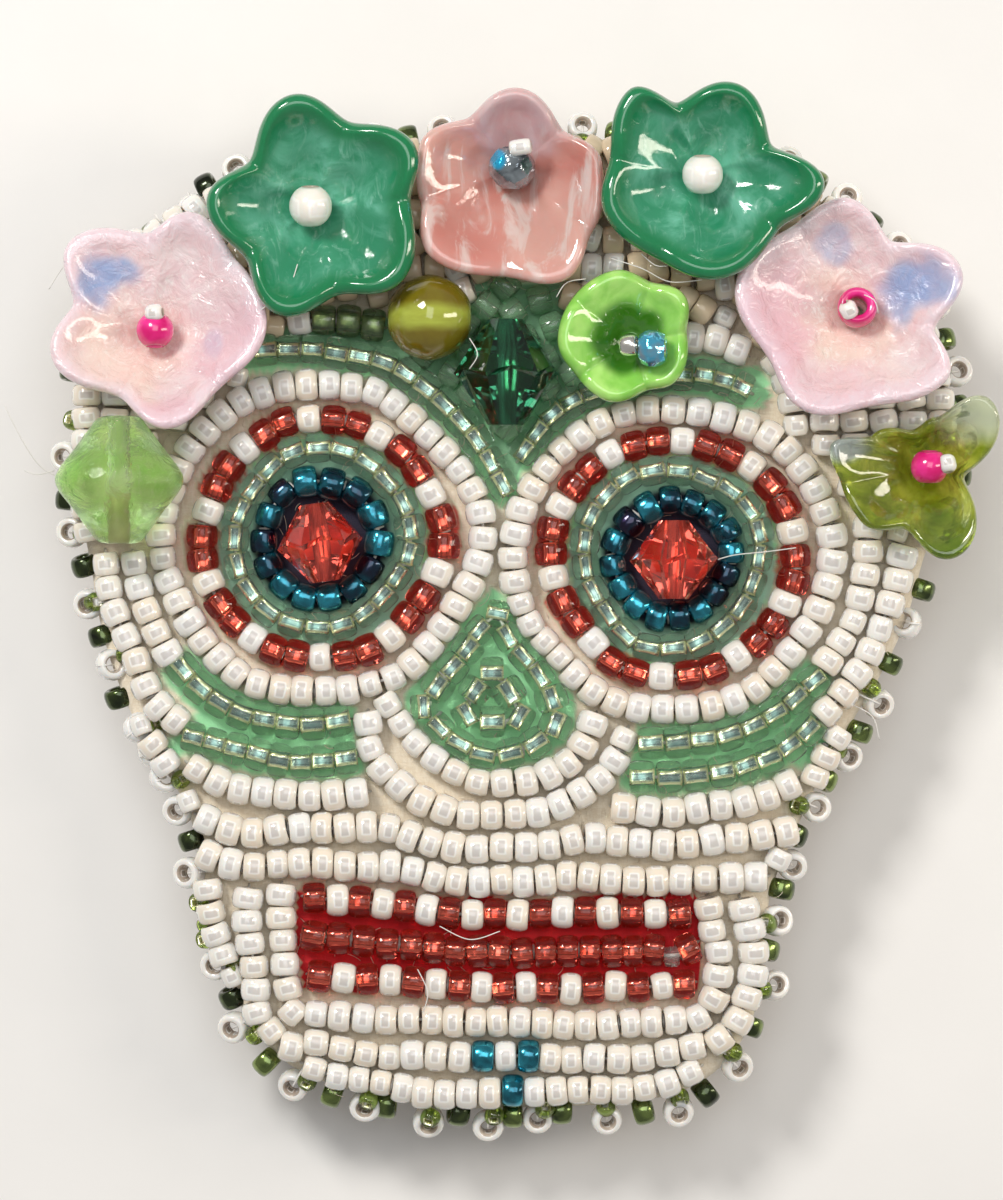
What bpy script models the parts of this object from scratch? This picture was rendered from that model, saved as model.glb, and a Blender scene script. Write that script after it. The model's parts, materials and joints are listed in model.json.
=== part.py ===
"""Bead-embroidered sugar-skull brooch.

A felt ground carries couched rows of seed beads, faceted crystals and pressed-glass flowers. A
stiffener card and a suede backing close the back, a looped bead edging closes the rim, and a
bar pin with a turning safety catch comes through two slots in the backing.

The brooch lies face up: +Z out of its face, +Y to the top of the head, and the pin at the bottom.
Each couched row is one solid here: the round string of beads, a little slimmer than the beads.
"""

import math

import bmesh
import bpy
from mathutils import Euler, Matrix, Vector

# ---------------------------------------------------------------- driving dimensions
MM = 0.001
UNIT = 1 / 15  # the beading pattern is drawn at 15 units to the millimetre
CENTRE_X, CENTRE_Y = 522.7, 613.1  # the pattern point over the origin

BACKING_Z, BACKING_T = 4.50, 0.90  # suede: underside and thickness, mm
CARD_Z, CARD_T = 5.45, 0.90  # stiffener card
FELT_Z, FELT_T = 6.40, 1.20  # felt ground
FELT_TOP = FELT_Z + FELT_T
CARD_INSET = 0.60  # the card stops short of the felt's rim
ROW_R = 0.85  # radius of a couched row
ROW_Z = FELT_TOP + 0.10 + ROW_R
EDGE_R = 0.95  # radius of the edging
EDGE_OUT = 1.15  # the edging runs this far outside the felt's rim
EDGE_Z = 6.40

PIN_X0, PIN_X1 = -19.0, 19.0  # ends of the bar
PIN_Y = 10.0
BAR_W, BAR_T = 5.0, 0.70
BAR_Z = 5.45
SLOT_GAP = 0.35
HINGE_X = -16.0
HINGE_Z = 1.775
RIVET_R = 0.45
EYE_R, EYE_BORE_R = 1.30, 0.75
STEM_R = 0.40
STEM_Z = 1.775
CATCH_X = 15.6
TIP_X = 18.6
HOUSING_R, HOUSING_BORE_R, HOUSING_L = 1.90, 1.45, 1.30
SLEEVE_R, SLEEVE_BORE_R, SLEEVE_L = 1.20, 0.70, 2.60
CATCH_MOUTH = 1.30  # width of the mouth that the stem leaves through

OUTLINE = [
    (80, 440), (84, 370), (100, 310), (130, 255), (175, 215), (240, 185), (320, 165), (400, 150),
    (510, 143), (620, 145), (705, 152), (790, 180), (860, 230), (910, 290), (938, 360), (948, 430),
    (945, 500), (925, 560), (908, 620), (885, 670), (855, 720), (825, 770), (798, 830), (775, 885),
    (762, 950), (758, 1005), (738, 1050), (700, 1085), (640, 1104), (575, 1108), (510, 1110),
    (450, 1110), (390, 1101), (335, 1088), (285, 1064), (250, 1025), (225, 975), (208, 925),
    (198, 860), (186, 810), (160, 765), (135, 725), (112, 670), (98, 620), (90, 570), (80, 510),
]

# ---------------------------------------------------------------- a clean scene
for ob in list(bpy.data.objects):
    bpy.data.objects.remove(ob, do_unlink=True)
for mesh in list(bpy.data.meshes):
    bpy.data.meshes.remove(mesh)
for curve in list(bpy.data.curves):
    bpy.data.curves.remove(curve)

parts = bpy.data.collections.new("sugar_skull_brooch")
cutters = bpy.data.collections.new("cutters")
bpy.context.scene.collection.children.link(parts)
bpy.context.scene.collection.children.link(cutters)

MATERIALS = {
    "pearl_white": ((0.85, 0.82, 0.76), 0.25, 0.0),
    "red_glass": ((0.60, 0.03, 0.02), 0.15, 0.0),
    "seafoam_glass": ((0.25, 0.55, 0.38), 0.18, 0.0),
    "teal_glass": ((0.01, 0.20, 0.26), 0.15, 0.6),
    "crystal_red": ((0.75, 0.12, 0.10), 0.05, 0.0),
    "jade_glass": ((0.02, 0.40, 0.20), 0.12, 0.0),
    "coral_glass": ((0.75, 0.38, 0.34), 0.15, 0.0),
    "opal_pink_glass": ((0.80, 0.60, 0.63), 0.15, 0.0),
    "olive_glass": ((0.35, 0.38, 0.05), 0.12, 0.0),
    "lime_glass": ((0.40, 0.78, 0.15), 0.12, 0.0),
    "crystal_green": ((0.02, 0.22, 0.09), 0.05, 0.0),
    "light_green_glass": ((0.42, 0.75, 0.28), 0.12, 0.0),
    "hot_pink_pearl": ((0.75, 0.02, 0.30), 0.20, 0.0),
    "grey_crystal": ((0.30, 0.36, 0.42), 0.06, 0.3),
    "edge_glass": ((0.45, 0.44, 0.36), 0.25, 0.0),
    "felt": ((0.72, 0.64, 0.54), 0.95, 0.0),
    "card": ((0.80, 0.78, 0.72), 0.90, 0.0),
    "suede": ((0.62, 0.54, 0.44), 0.95, 0.0),
    "steel": ((0.62, 0.62, 0.60), 0.28, 1.0),
}


def material_for(name, kind):
    colour, rough, metal = MATERIALS[kind]
    mat = bpy.data.materials.new(name)
    mat.use_nodes = True
    shader = mat.node_tree.nodes["Principled BSDF"]
    shader.inputs["Base Color"].default_value = (*colour, 1.0)
    shader.inputs["Roughness"].default_value = rough
    shader.inputs["Metallic"].default_value = metal
    return mat


# ---------------------------------------------------------------- helpers
def at(x, y):
    """A pattern point in metres."""
    return Vector(((x - CENTRE_X) * UNIT * MM, (CENTRE_Y - y) * UNIT * MM, 0.0))


def add(name, data, kind, collection=parts):
    ob = bpy.data.objects.new(name, data)
    collection.objects.link(ob)
    if kind:
        data.materials.clear()
        data.materials.append(material_for(name, kind))
    return ob


def smooth_line(points, spacing, closed):
    """Points a given spacing apart on a Catmull-Rom curve through the given ones."""
    n = len(points)
    fine = []
    for i in range(n if closed else n - 1):
        a, b, c, d = (
            (points[(i - 1) % n], points[i], points[(i + 1) % n], points[(i + 2) % n])
            if closed
            else (points[max(i - 1, 0)], points[i], points[i + 1], points[min(i + 2, n - 1)])
        )
        for k in range(12):
            t = k / 12
            fine.append(
                0.5
                * (
                    2 * b
                    + (c - a) * t
                    + (2 * a - 5 * b + 4 * c - d) * t * t
                    + (3 * b - a - 3 * c + d) * t**3
                )
            )
    fine.append(points[0].copy() if closed else points[-1].copy())
    steps = [0.0]
    for p, q in zip(fine, fine[1:]):
        steps.append(steps[-1] + (q - p).length)
    count = max(2, round(steps[-1] / spacing))
    out, j = [], 0
    for k in range(count if closed else count + 1):
        want = steps[-1] * k / count
        while j < len(fine) - 2 and steps[j + 1] < want:
            j += 1
        part = (want - steps[j]) / max(steps[j + 1] - steps[j], 1e-12)
        out.append(fine[j].lerp(fine[j + 1], min(max(part, 0.0), 1.0)))
    return out


def tube(name, points, radius, kind, closed=False, height=ROW_Z):
    """A round string of beads along a line, at one height, as a capped or closed tube."""
    curve = bpy.data.curves.new(name, "CURVE")
    curve.dimensions = "3D"
    curve.bevel_depth = radius * MM
    curve.bevel_resolution = 1
    curve.render_resolution_u = 0
    curve.use_fill_caps = not closed
    spline = curve.splines.new("POLY")
    spline.points.add(len(points) - 1)
    for p, v in zip(spline.points, points):
        p.co = (v.x, v.y, height * MM, 1.0)
    spline.use_cyclic_u = closed
    return add(name, curve, kind)


def row(name, pattern, kind, closed=False, spacing=2.6, radius=ROW_R):
    points = smooth_line([at(*p) for p in pattern], spacing * MM, closed)
    return tube(name, points, radius, kind, closed)


def hairpin(name, first, second, kind):
    """Two neighbouring rows sewn with one thread: out along the first, back along the second."""
    a = smooth_line([at(*p) for p in first], 2.6 * MM, False)
    b = smooth_line([at(*p) for p in second], 2.6 * MM, False)
    return tube(name, a + b, ROW_R, kind)


def ring(name, x, y, rx, ry, kind, count):
    points = [
        at(x + rx * math.cos(2 * math.pi * k / count), y - ry * math.sin(2 * math.pi * k / count))
        for k in range(count)
    ]
    return tube(name, points, ROW_R, kind, closed=True)


def plate(name, loops, z, thick, kind):
    """A flat sheet with square edges: the first loop is its outline, the others its openings."""
    curve = bpy.data.curves.new(name, "CURVE")
    curve.dimensions = "2D"
    curve.fill_mode = "BOTH"
    curve.extrude = thick * MM / 2
    curve.render_resolution_u = 0
    for loop in loops:
        spline = curve.splines.new("POLY")
        spline.points.add(len(loop) - 1)
        for p, v in zip(spline.points, loop):
            p.co = (v.x, v.y, 0.0, 1.0)
        spline.use_cyclic_u = True
    ob = add(name, curve, kind)
    ob.location.z = (z + thick / 2) * MM
    return ob


def turned(name, profile, centre, kind, steps=12, axis="Z", shade=True, squash=1.0, lean=0.0):
    """A turned bead with a hole: the profile's (radius, height) points run down the outer side.
    Lean turns a bead that lies along Y, in degrees anticlockwise."""
    mesh = bpy.data.meshes.new(name)
    n = len(profile)
    mesh.from_pydata(
        [(r * MM, 0.0, h * MM) for r, h in profile], [(i, (i + 1) % n) for i in range(n)], []
    )
    ob = add(name, mesh, kind)
    screw = ob.modifiers.new("turn", "SCREW")
    screw.steps = screw.render_steps = steps
    screw.use_merge_vertices = True
    screw.merge_threshold = 1e-5
    screw.use_smooth_shade = shade
    ob.location = Vector(centre) * MM
    if axis == "X":
        ob.rotation_euler = (0.0, math.pi / 2, 0.0)
    elif axis == "Y":
        ob.rotation_euler = (-math.pi / 2, 0.0, math.radians(lean))
        ob.scale = (1.0, squash, 1.0)
    return ob


def round_bead(radius, half, hole, points=6):
    """Profile of a round bead, down its outer side and up its hole."""
    top = math.asin(min(0.98, hole / radius))
    outer = [
        (
            radius * math.sin(top + (math.pi - 2 * top) * k / points),
            half * math.cos(top + (math.pi - 2 * top) * k / points),
        )
        for k in range(points + 1)
    ]
    return outer


def loop_offset(points, distance):
    """A closed loop moved sideways: inwards for a positive distance on a clockwise loop."""
    out, n = [], len(points)
    for i, p in enumerate(points):
        along = (points[(i + 1) % n] - points[i - 1]).normalized()
        out.append(p + Vector((along.y, -along.x, 0.0)) * distance)
    return out


def rectangle(x0, x1, y0, y1):
    return [Vector((x * MM, y * MM, 0.0)) for x, y in ((x0, y0), (x1, y0), (x1, y1), (x0, y1))]


# ---------------------------------------------------------------- ground, card and backing
outline = smooth_line([at(*p) for p in OUTLINE], 2.6 * MM, True)
card_window = rectangle(
    PIN_X0 - SLOT_GAP, PIN_X1 + SLOT_GAP, PIN_Y - BAR_W / 2 - SLOT_GAP, PIN_Y + BAR_W / 2 + SLOT_GAP
)
hinge_slot = rectangle(HINGE_X - 2.9, HINGE_X + 2.9, PIN_Y - 2.3, PIN_Y + 2.3)
catch_slot = rectangle(CATCH_X - 2.4, CATCH_X + 2.4, PIN_Y - 2.3, PIN_Y + 2.3)
plate("foundation", [outline], FELT_Z, FELT_T, "felt")
plate(
    "stiffener", [loop_offset(outline, CARD_INSET * MM), card_window], CARD_Z, CARD_T, "card"
)
plate("backing", [outline, hinge_slot, catch_slot], BACKING_Z, BACKING_T, "suede")
edge_line = smooth_line(loop_offset(outline, -EDGE_OUT * MM), 2.9 * MM, True)
tube("edge_beading", edge_line, EDGE_R, "edge_glass", closed=True, height=EDGE_Z)

# ---------------------------------------------------------------- eyes
EYES = {
    # crystal, each inner ring's centre and half-axes, then the line of the outer ring
    "left": (
        (321, 543), (322, 540, 57, 57), (322, 537, 88, 88), (323, 538, 122, 118),
        [(330, 384), (374, 388), (411, 419), (444, 454), (472, 490), (484, 537), (471, 587),
         (441, 628), (413, 664), (367, 684), (326, 692), (282, 690), (237, 676), (202, 644),
         (179, 602), (164, 560), (164, 520), (178, 476), (204, 438), (244, 404), (286, 387)]),
    "right": (
        (673, 560), (672, 561, 59, 57), (673, 560, 88, 88), (673, 559, 121, 118),
        [(649, 409), (705, 411), (747, 425), (787, 450), (815, 488), (834, 536), (830, 588),
         (809, 630), (772, 674), (738, 699), (686, 709), (638, 708), (592, 692), (558, 656),
         (530, 625), (516, 590), (512, 558), (520, 508), (540, 474), (562, 450), (601, 422)]),
}
CRYSTAL = [(0.95, 2.60), (2.90, 0.0), (0.95, -2.60), (0.45, -2.45), (0.45, 2.45)]
for side, (crystal, teal, green, red, white) in EYES.items():
    c = at(*crystal) / MM
    turned(
        f"{side}_eye_crystal", CRYSTAL, (c.x, c.y, FELT_TOP + 0.10 + 2.90), "crystal_red",
        steps=12, shade=False, axis="Y", lean=7.0 if side == "left" else 0.0,
    )
    ring(f"{side}_eye_teal_ring", *teal, "teal_glass", 14)
    ring(f"{side}_eye_green_ring", *green, "seafoam_glass", 20)
    ring(f"{side}_eye_red_white_ring", *red, "red_glass", 24)
    row(f"{side}_eye_white_ring", white, "pearl_white", closed=True, spacing=2.3)

# ---------------------------------------------------------------- brows
row("left_brow_row", [(289, 349), (336, 353), (384, 361), (423, 387), (462, 423), (491, 468)],
    "seafoam_glass")
row("right_brow_row", [(527, 450), (552, 415), (590, 392), (635, 379), (682, 375), (735, 386)],
    "seafoam_glass")

# ---------------------------------------------------------------- nose
row("nose_outline_row",
    [(494, 611), (468, 648), (440, 686), (423, 706), (440, 731), (483, 755), (510, 755), (538, 744),
     (559, 720), (540, 682), (520, 658), (504, 640)], "seafoam_glass", closed=True, spacing=2.0)
row("nose_inner_row", [(491, 674), (475, 692), (464, 710), (490, 720), (518, 713), (509, 692)],
    "seafoam_glass", closed=True, spacing=1.6, radius=0.75)
row("nose_surround_inner_row",
    [(398, 719), (407, 736), (437, 762), (474, 785), (528, 782), (569, 765), (588, 738)],
    "pearl_white", spacing=2.2)
row("nose_surround_outer_row",
    [(367, 728), (369, 753), (398, 788), (447, 811), (490, 816), (540, 813), (584, 796),
     (616, 767), (626, 742)], "pearl_white", spacing=2.2)

# ---------------------------------------------------------------- cheeks and temples
hairpin("left_cheek_rows", [(190, 677), (222, 702), (262, 718), (315, 724), (334, 722)],
        [(338, 758), (301, 761), (258, 753), (202, 740)], "seafoam_glass")
hairpin("right_cheek_rows", [(808, 684), (774, 713), (728, 735), (676, 742), (649, 743)],
        [(643, 777), (695, 777), (747, 765), (796, 742)], "seafoam_glass")
hairpin("left_temple_rows", [(158, 640), (147, 612), (136, 585), (132, 565)],
        [(104, 564), (107, 592), (125, 640), (139, 676), (157, 706)], "pearl_white")
hairpin("right_temple_rows", [(835, 647), (851, 622), (861, 580), (866, 548)],
        [(896, 560), (890, 604), (875, 650), (848, 690), (834, 708)], "pearl_white")

# ---------------------------------------------------------------- face, mouth and chin
row("face_row_1_left", [(200, 771), (241, 789), (284, 794), (334, 796), (350, 794)],
    "pearl_white")
row("face_row_1_right", [(625, 809), (673, 812), (721, 805), (766, 797), (785, 787)],
    "pearl_white")
row("face_row_2",
    [(212, 820), (254, 832), (299, 828), (345, 829), (385, 827), (428, 842), (477, 848),
     (528, 848), (571, 841), (615, 841), (663, 845), (711, 841), (763, 835), (782, 832)],
    "pearl_white")
row("face_row_3",
    [(220, 858), (255, 867), (301, 863), (345, 866), (390, 865), (435, 877), (479, 881),
     (524, 882), (567, 876), (610, 878), (656, 880), (707, 879), (758, 876)], "pearl_white")
row("mouth_top_row", [(307, 898), (362, 902), (427, 911), (494, 914), (563, 912), (631, 913),
                      (688, 914)], "red_glass")
row("mouth_middle_row", [(307, 936), (365, 941), (434, 948), (521, 953), (612, 951), (692, 950)],
    "red_glass")
row("mouth_bottom_row", [(312, 976), (371, 979), (436, 984), (505, 987), (592, 987), (688, 984)],
    "red_glass")
row("mouth_frame_row",
    [(282, 896), (281, 918), (284, 940), (285, 966), (288, 990), (300, 1011), (340, 1016),
     (388, 1020), (453, 1020), (521, 1022), (586, 1023), (651, 1022), (698, 1016), (715, 996),
     (718, 972), (718, 948), (714, 930), (712, 912)], "pearl_white", spacing=2.2)
row("jaw_frame_row",
    [(246, 900), (247, 921), (250, 943), (254, 966), (256, 990), (258, 1012), (272, 1032),
     (300, 1044), (346, 1048), (390, 1053), (460, 1055), (528, 1055), (593, 1055), (666, 1050),
     (700, 1045), (730, 1030), (747, 1000), (752, 975), (752, 950), (748, 930), (745, 910)],
    "pearl_white", spacing=2.2)
row("chin_row", [(320, 1077), (360, 1084), (422, 1093), (488, 1095), (554, 1094), (620, 1093),
                 (665, 1088), (694, 1082)], "pearl_white")
row("forehead_row_left", [(290, 320), (322, 319), (350, 320), (374, 324)], "pearl_white")
row("forehead_row_right", [(694, 340), (716, 340), (738, 350)], "pearl_white", spacing=1.6)

# ---------------------------------------------------------------- flowers
# petal tips and the notches between them, alternately, round the hole
FLOWERS = {
    "green_flower_left": (
        (313, 211), 2.15, (0, 0), "jade_glass",
        [(297, 101), (350, 127), (417, 152), (412, 205), (405, 285), (340, 299), (283, 320),
         (248, 262), (210, 207), (252, 166)]),
    "pink_flower_centre": (
        (512, 171), 0.60, (0, 0), "coral_glass",
        [(517, 92), (562, 132), (602, 170), (592, 235), (565, 284), (505, 280), (430, 260),
         (421, 205), (420, 150), (470, 120)]),
    "green_flower_right": (
        (700, 180), 2.55, (0, 0), "jade_glass",
        [(628, 96), (675, 109), (735, 91), (768, 150), (820, 192), (775, 235), (718, 284),
         (655, 264), (602, 218), (608, 165)]),
    "pale_flower_left": (
        (158, 342), 1.15, (-13, 0), "opal_pink_glass",
        [(74, 255), (150, 245), (197, 226), (238, 272), (270, 339), (222, 405), (175, 448),
         (124, 412), (57, 375), (77, 318)]),
    "pale_flower_right": (
        (854, 317), 1.30, (-10, 0), "opal_pink_glass",
        [(838, 210), (888, 250), (957, 283), (930, 340), (941, 395), (868, 420), (798, 426),
         (765, 372), (732, 300), (792, 236)]),
    "olive_star_flower": (
        (926, 468), 0.90, (0, 0), "olive_glass",
        [(986, 405), (960, 475), (950, 560), (895, 545), (835, 510), (822, 475), (830, 430),
         (862, 424), (900, 420), (930, 405)]),
    "lime_flower": (
        (630, 343), 0.90, (0, 0), "lime_glass",
        [(612, 273), (650, 284), (682, 296), (686, 335), (676, 382), (646, 392), (604, 402),
         (578, 380), (557, 342), (572, 300)]),
}
FLOWER_T = 1.25  # glass thickness
FLOWER_HOLE = 0.60
SPOKES = 30


def flower(name, hole, lift, tilt, kind, edge):
    """A cupped pressed-glass flower: a turned dish whose rim is drawn out into petals."""
    centre = at(*hole)
    polar = []
    for p in edge:
        v = (at(*p) - centre) / MM
        polar.append((math.atan2(v.y, v.x), math.hypot(v.x, v.y)))
    polar.sort()
    size = max(r for _, r in polar)

    def reach(angle):
        for i in range(len(polar)):
            a0, r0 = polar[i]
            a1, r1 = polar[(i + 1) % len(polar)]
            span = (a1 - a0) % (2 * math.pi)
            part = ((angle - a0) % (2 * math.pi)) / span
            if part <= 1:
                return r0 + (r1 - r0) * (0.5 - 0.5 * math.cos(math.pi * part))
        return polar[0][1]

    rise = 3.0 * min(1.0, size / 7.5)
    stations = [0.0, 0.16, 0.40, 0.72, 1.0]
    bm = bmesh.new()
    rim = [bm.verts.new((s, 0.0, 0.0)) for s in stations]
    edges = [bm.edges.new(pair) for pair in zip(rim, rim[1:])]
    bmesh.ops.spin(
        bm, geom=rim + edges, cent=(0, 0, 0), axis=(0, 0, 1), angle=2 * math.pi, steps=SPOKES,
        use_merge=True,
    )
    # the dish's radius runs from 0 at the hole to 1 at the rim, so each spoke is stretched
    # from the hole to the petal's edge
    centres = [v for v in bm.verts if math.hypot(v.co.x, v.co.y) < 1e-6]
    bmesh.ops.delete(bm, geom=centres, context="VERTS")
    for v in bm.verts:
        a = math.atan2(v.co.y, v.co.x)
        s = math.hypot(v.co.x, v.co.y)
        s = (s - 0.16) / 0.84
        r = FLOWER_HOLE + (reach(a) - FLOWER_HOLE - 0.05) * s
        up = min(1.0, max(0.0, r / size - 0.15) / 0.85)
        v.co = (r * math.cos(a), r * math.sin(a), 1.35 + rise * (1 - (1 - up) ** 2))
    bmesh.ops.recalc_face_normals(bm, faces=bm.faces)
    if sum(f.normal.z for f in bm.faces) < 0:
        bmesh.ops.reverse_faces(bm, faces=bm.faces)
    bmesh.ops.scale(bm, vec=(MM, MM, MM), verts=bm.verts)
    mesh = bpy.data.meshes.new(name)
    bm.to_mesh(mesh)
    bm.free()
    ob = add(name, mesh, kind)
    ob.location = (centre.x, centre.y, (FELT_TOP + 0.10 + lift) * MM)
    ob.rotation_euler = (math.radians(tilt[0]), math.radians(tilt[1]), 0.0)
    solid = ob.modifiers.new("thickness", "SOLIDIFY")
    solid.thickness = FLOWER_T * MM
    solid.offset = -1.0
    return ob


for name, (hole, lift, tilt, kind, edge) in FLOWERS.items():
    flower(name, hole, lift, tilt, kind, edge)

# ---------------------------------------------------------------- beads that stop the flowers
STOPS = {
    "left_pearl": ("green_flower_left", 1.42, 1.42, "pearl_white"),
    "right_pearl": ("green_flower_right", 1.35, 1.35, "pearl_white"),
    "faceted_stop_bead": ("pink_flower_centre", 1.55, 1.25, "grey_crystal"),
    "left_pink_stop_bead": ("pale_flower_left", 1.25, 1.00, "hot_pink_pearl"),
    "right_pink_stop_bead": ("pale_flower_right", 1.35, 0.95, "hot_pink_pearl"),
    "star_stop_bead": ("olive_star_flower", 1.25, 1.00, "hot_pink_pearl"),
}
for name, (under, radius, half, kind) in STOPS.items():
    hole, lift, tilt = FLOWERS[under][:3]
    c = at(*hole) / MM
    lean = Euler((math.radians(tilt[0]), math.radians(tilt[1]), 0.0))
    foot = Vector((c.x, c.y, FELT_TOP + 0.10 + lift))
    up = Vector((0.0, 0.0, 1.35 + 0.30 + half))
    up.rotate(lean)
    stop = turned(name, round_bead(radius, half, 0.45, 4), foot + up, kind, steps=10)
    stop.rotation_euler = lean

# the lime flower's stop is a rondelle on its side in the cup
c = at(648, 350) / MM
turned("lime_rondelle", round_bead(1.25, 0.85, 0.45, 4), (c.x, c.y, FELT_TOP + 4.55), "grey_crystal",
       steps=10, axis="X")

# ---------------------------------------------------------------- large beads
c = at(430, 319) / MM
turned("olive_round_bead", round_bead(2.85, 3.00, 0.55, 8), (c.x, c.y, FELT_TOP + 0.10 + 2.85),
       "olive_glass", steps=14, axis="X")
c = at(506, 374) / MM
turned(
    "green_bicone",
    [(1.25, 3.45), (3.40, 0.0), (1.25, -3.45), (0.55, -3.25), (0.55, 3.25)],
    (c.x, c.y, FELT_TOP + 0.10 + 3.40), "crystal_green", steps=12, shade=False, axis="Y",
)
c = at(123, 481) / MM
turned(
    "lantern_bead",
    [(0.75, 4.10), (1.50, 3.95), (3.75, 1.10), (4.25, 0.0), (3.75, -1.10), (1.50, -3.95),
     (0.75, -4.10)],
    (c.x, c.y, FELT_TOP + 0.95 + 3.50), "light_green_glass", steps=12, axis="Y", squash=3.48 / 4.25,
)

# ---------------------------------------------------------------- bar pin
def box(name, x0, x1, y0, y1, z0, z1, kind, collection=parts):
    mesh = bpy.data.meshes.new(name)
    bm = bmesh.new()
    bmesh.ops.create_cube(bm, size=1.0)
    bmesh.ops.transform(
        bm, matrix=Matrix.Diagonal(((x1 - x0) * MM, (y1 - y0) * MM, (z1 - z0) * MM, 1.0)),
        verts=bm.verts,
    )
    bm.to_mesh(mesh)
    bm.free()
    ob = add(name, mesh, kind, collection)
    ob.location = ((x0 + x1) / 2 * MM, (y0 + y1) / 2 * MM, (z0 + z1) / 2 * MM)
    return ob


def cylinder(name, radius, length, centre, axis, sides, kind, collection=parts):
    mesh = bpy.data.meshes.new(name)
    bm = bmesh.new()
    bmesh.ops.create_cone(
        bm, cap_ends=True, segments=sides, radius1=radius * MM, radius2=radius * MM,
        depth=length * MM,
    )
    turn = {
        "X": Matrix.Rotation(math.pi / 2, 4, "Y"),
        "Y": Matrix.Rotation(math.pi / 2, 4, "X"),
        "Z": Matrix.Identity(4),
    }[axis]
    bmesh.ops.transform(bm, matrix=turn, verts=bm.verts)
    bm.to_mesh(mesh)
    bm.free()
    ob = add(name, mesh, kind, collection)
    ob.location = Vector(centre) * MM
    return ob


def cutter(ob):
    ob.hide_render = True
    ob.display_type = "WIRE"
    return ob


def combine(ob, other, operation):
    mod = ob.modifiers.new(operation.lower(), "BOOLEAN")
    mod.operation = operation
    mod.object = other
    mod.solver = "EXACT"
    cutter(other)
    return mod


box("pin_bar", PIN_X0, PIN_X1, PIN_Y - BAR_W / 2, PIN_Y + BAR_W / 2, BAR_Z, BAR_Z + BAR_T, "steel")
bpy.data.objects["pin_bar"].modifiers.new("round", "BEVEL").width = 0.2 * MM

# hinge bracket: a foot under the bar and two ears that hold the rivet
foot_z1 = BAR_Z - 0.04
foot_z0 = foot_z1 - 0.50
bracket = box("hinge_bracket", HINGE_X - 2.4, HINGE_X + 2.4, PIN_Y - 1.9, PIN_Y + 1.9, foot_z0,
              foot_z1, "steel")
for k, y in enumerate((-1.55, 1.55)):
    ear = box(f"ear_{k}", HINGE_X - 1.5, HINGE_X + 1.5, PIN_Y + y - 0.30, PIN_Y + y + 0.30,
              HINGE_Z, foot_z0 + 0.25, None, cutters)
    combine(bracket, ear, "UNION")
    nose = cylinder(f"ear_round_{k}", 1.5, 0.60, (HINGE_X, PIN_Y + y, HINGE_Z), "Y", 16, None,
                    cutters)
    combine(bracket, nose, "UNION")
bore = cylinder("ear_bore", RIVET_R + 0.10, 5.0, (HINGE_X, PIN_Y, HINGE_Z), "Y", 14, None, cutters)
combine(bracket, bore, "DIFFERENCE")

# rivet: a shank through both ears with a head at each end
rivet_axis = bpy.data.objects.new("rivet_axis", None)
parts.objects.link(rivet_axis)
rivet_axis.location = (HINGE_X * MM, PIN_Y * MM, HINGE_Z * MM)
rivet_profile = [
    (0.0, 2.45), (0.80, 2.40), (0.80, 2.05), (RIVET_R, 2.05), (RIVET_R, -2.05), (0.80, -2.05),
    (0.80, -2.40), (0.0, -2.45),
]
mesh = bpy.data.meshes.new("hinge_rivet")
mesh.from_pydata(
    [(r * MM, 0.0, h * MM) for r, h in rivet_profile],
    [(i, i + 1) for i in range(len(rivet_profile) - 1)], [],
)
rivet = add("hinge_rivet", mesh, "steel")
rivet.parent = rivet_axis
rivet.rotation_euler = (-math.pi / 2, 0.0, 0.0)
screw = rivet.modifiers.new("turn", "SCREW")
screw.steps = screw.render_steps = 14
screw.use_merge_vertices = True
screw.merge_threshold = 1e-5

# stem: an eye round the rivet and a straight wire with a tapered point
stem = cylinder("pin_stem", EYE_R, 1.60, (0.0, 0.0, 0.0), "Y", 18, "steel")
stem.parent = rivet_axis
stem.location = (0.0, 0.0, 0.0)
wire_start, point_start = 0.95, TIP_X - HINGE_X - 2.2
wire_profile = [
    (0.0, TIP_X - HINGE_X), (0.10, TIP_X - HINGE_X - 0.05), (STEM_R, point_start),
    (STEM_R, wire_start), (0.0, wire_start),
]
mesh = bpy.data.meshes.new("stem_wire")
mesh.from_pydata(
    [(r * MM, 0.0, h * MM) for r, h in wire_profile],
    [(i, i + 1) for i in range(len(wire_profile) - 1)], [],
)
wire = add("stem_wire", mesh, None, cutters)
wire.rotation_euler = (0.0, math.pi / 2, 0.0)
wire.location = (HINGE_X * MM, PIN_Y * MM, STEM_Z * MM)
screw = wire.modifiers.new("turn", "SCREW")
screw.steps = screw.render_steps = 12
screw.use_merge_vertices = True
screw.merge_threshold = 1e-5
combine(stem, wire, "UNION")
eye_bore = cylinder("eye_bore", EYE_BORE_R, 3.0, (HINGE_X, PIN_Y, HINGE_Z), "Y", 14, None, cutters)
combine(stem, eye_bore, "DIFFERENCE")

# catch: a split housing on a post, and a split sleeve that turns inside it
catch_axis = bpy.data.objects.new("catch_axis", None)
parts.objects.link(catch_axis)
catch_axis.location = (CATCH_X * MM, PIN_Y * MM, STEM_Z * MM)

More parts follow.
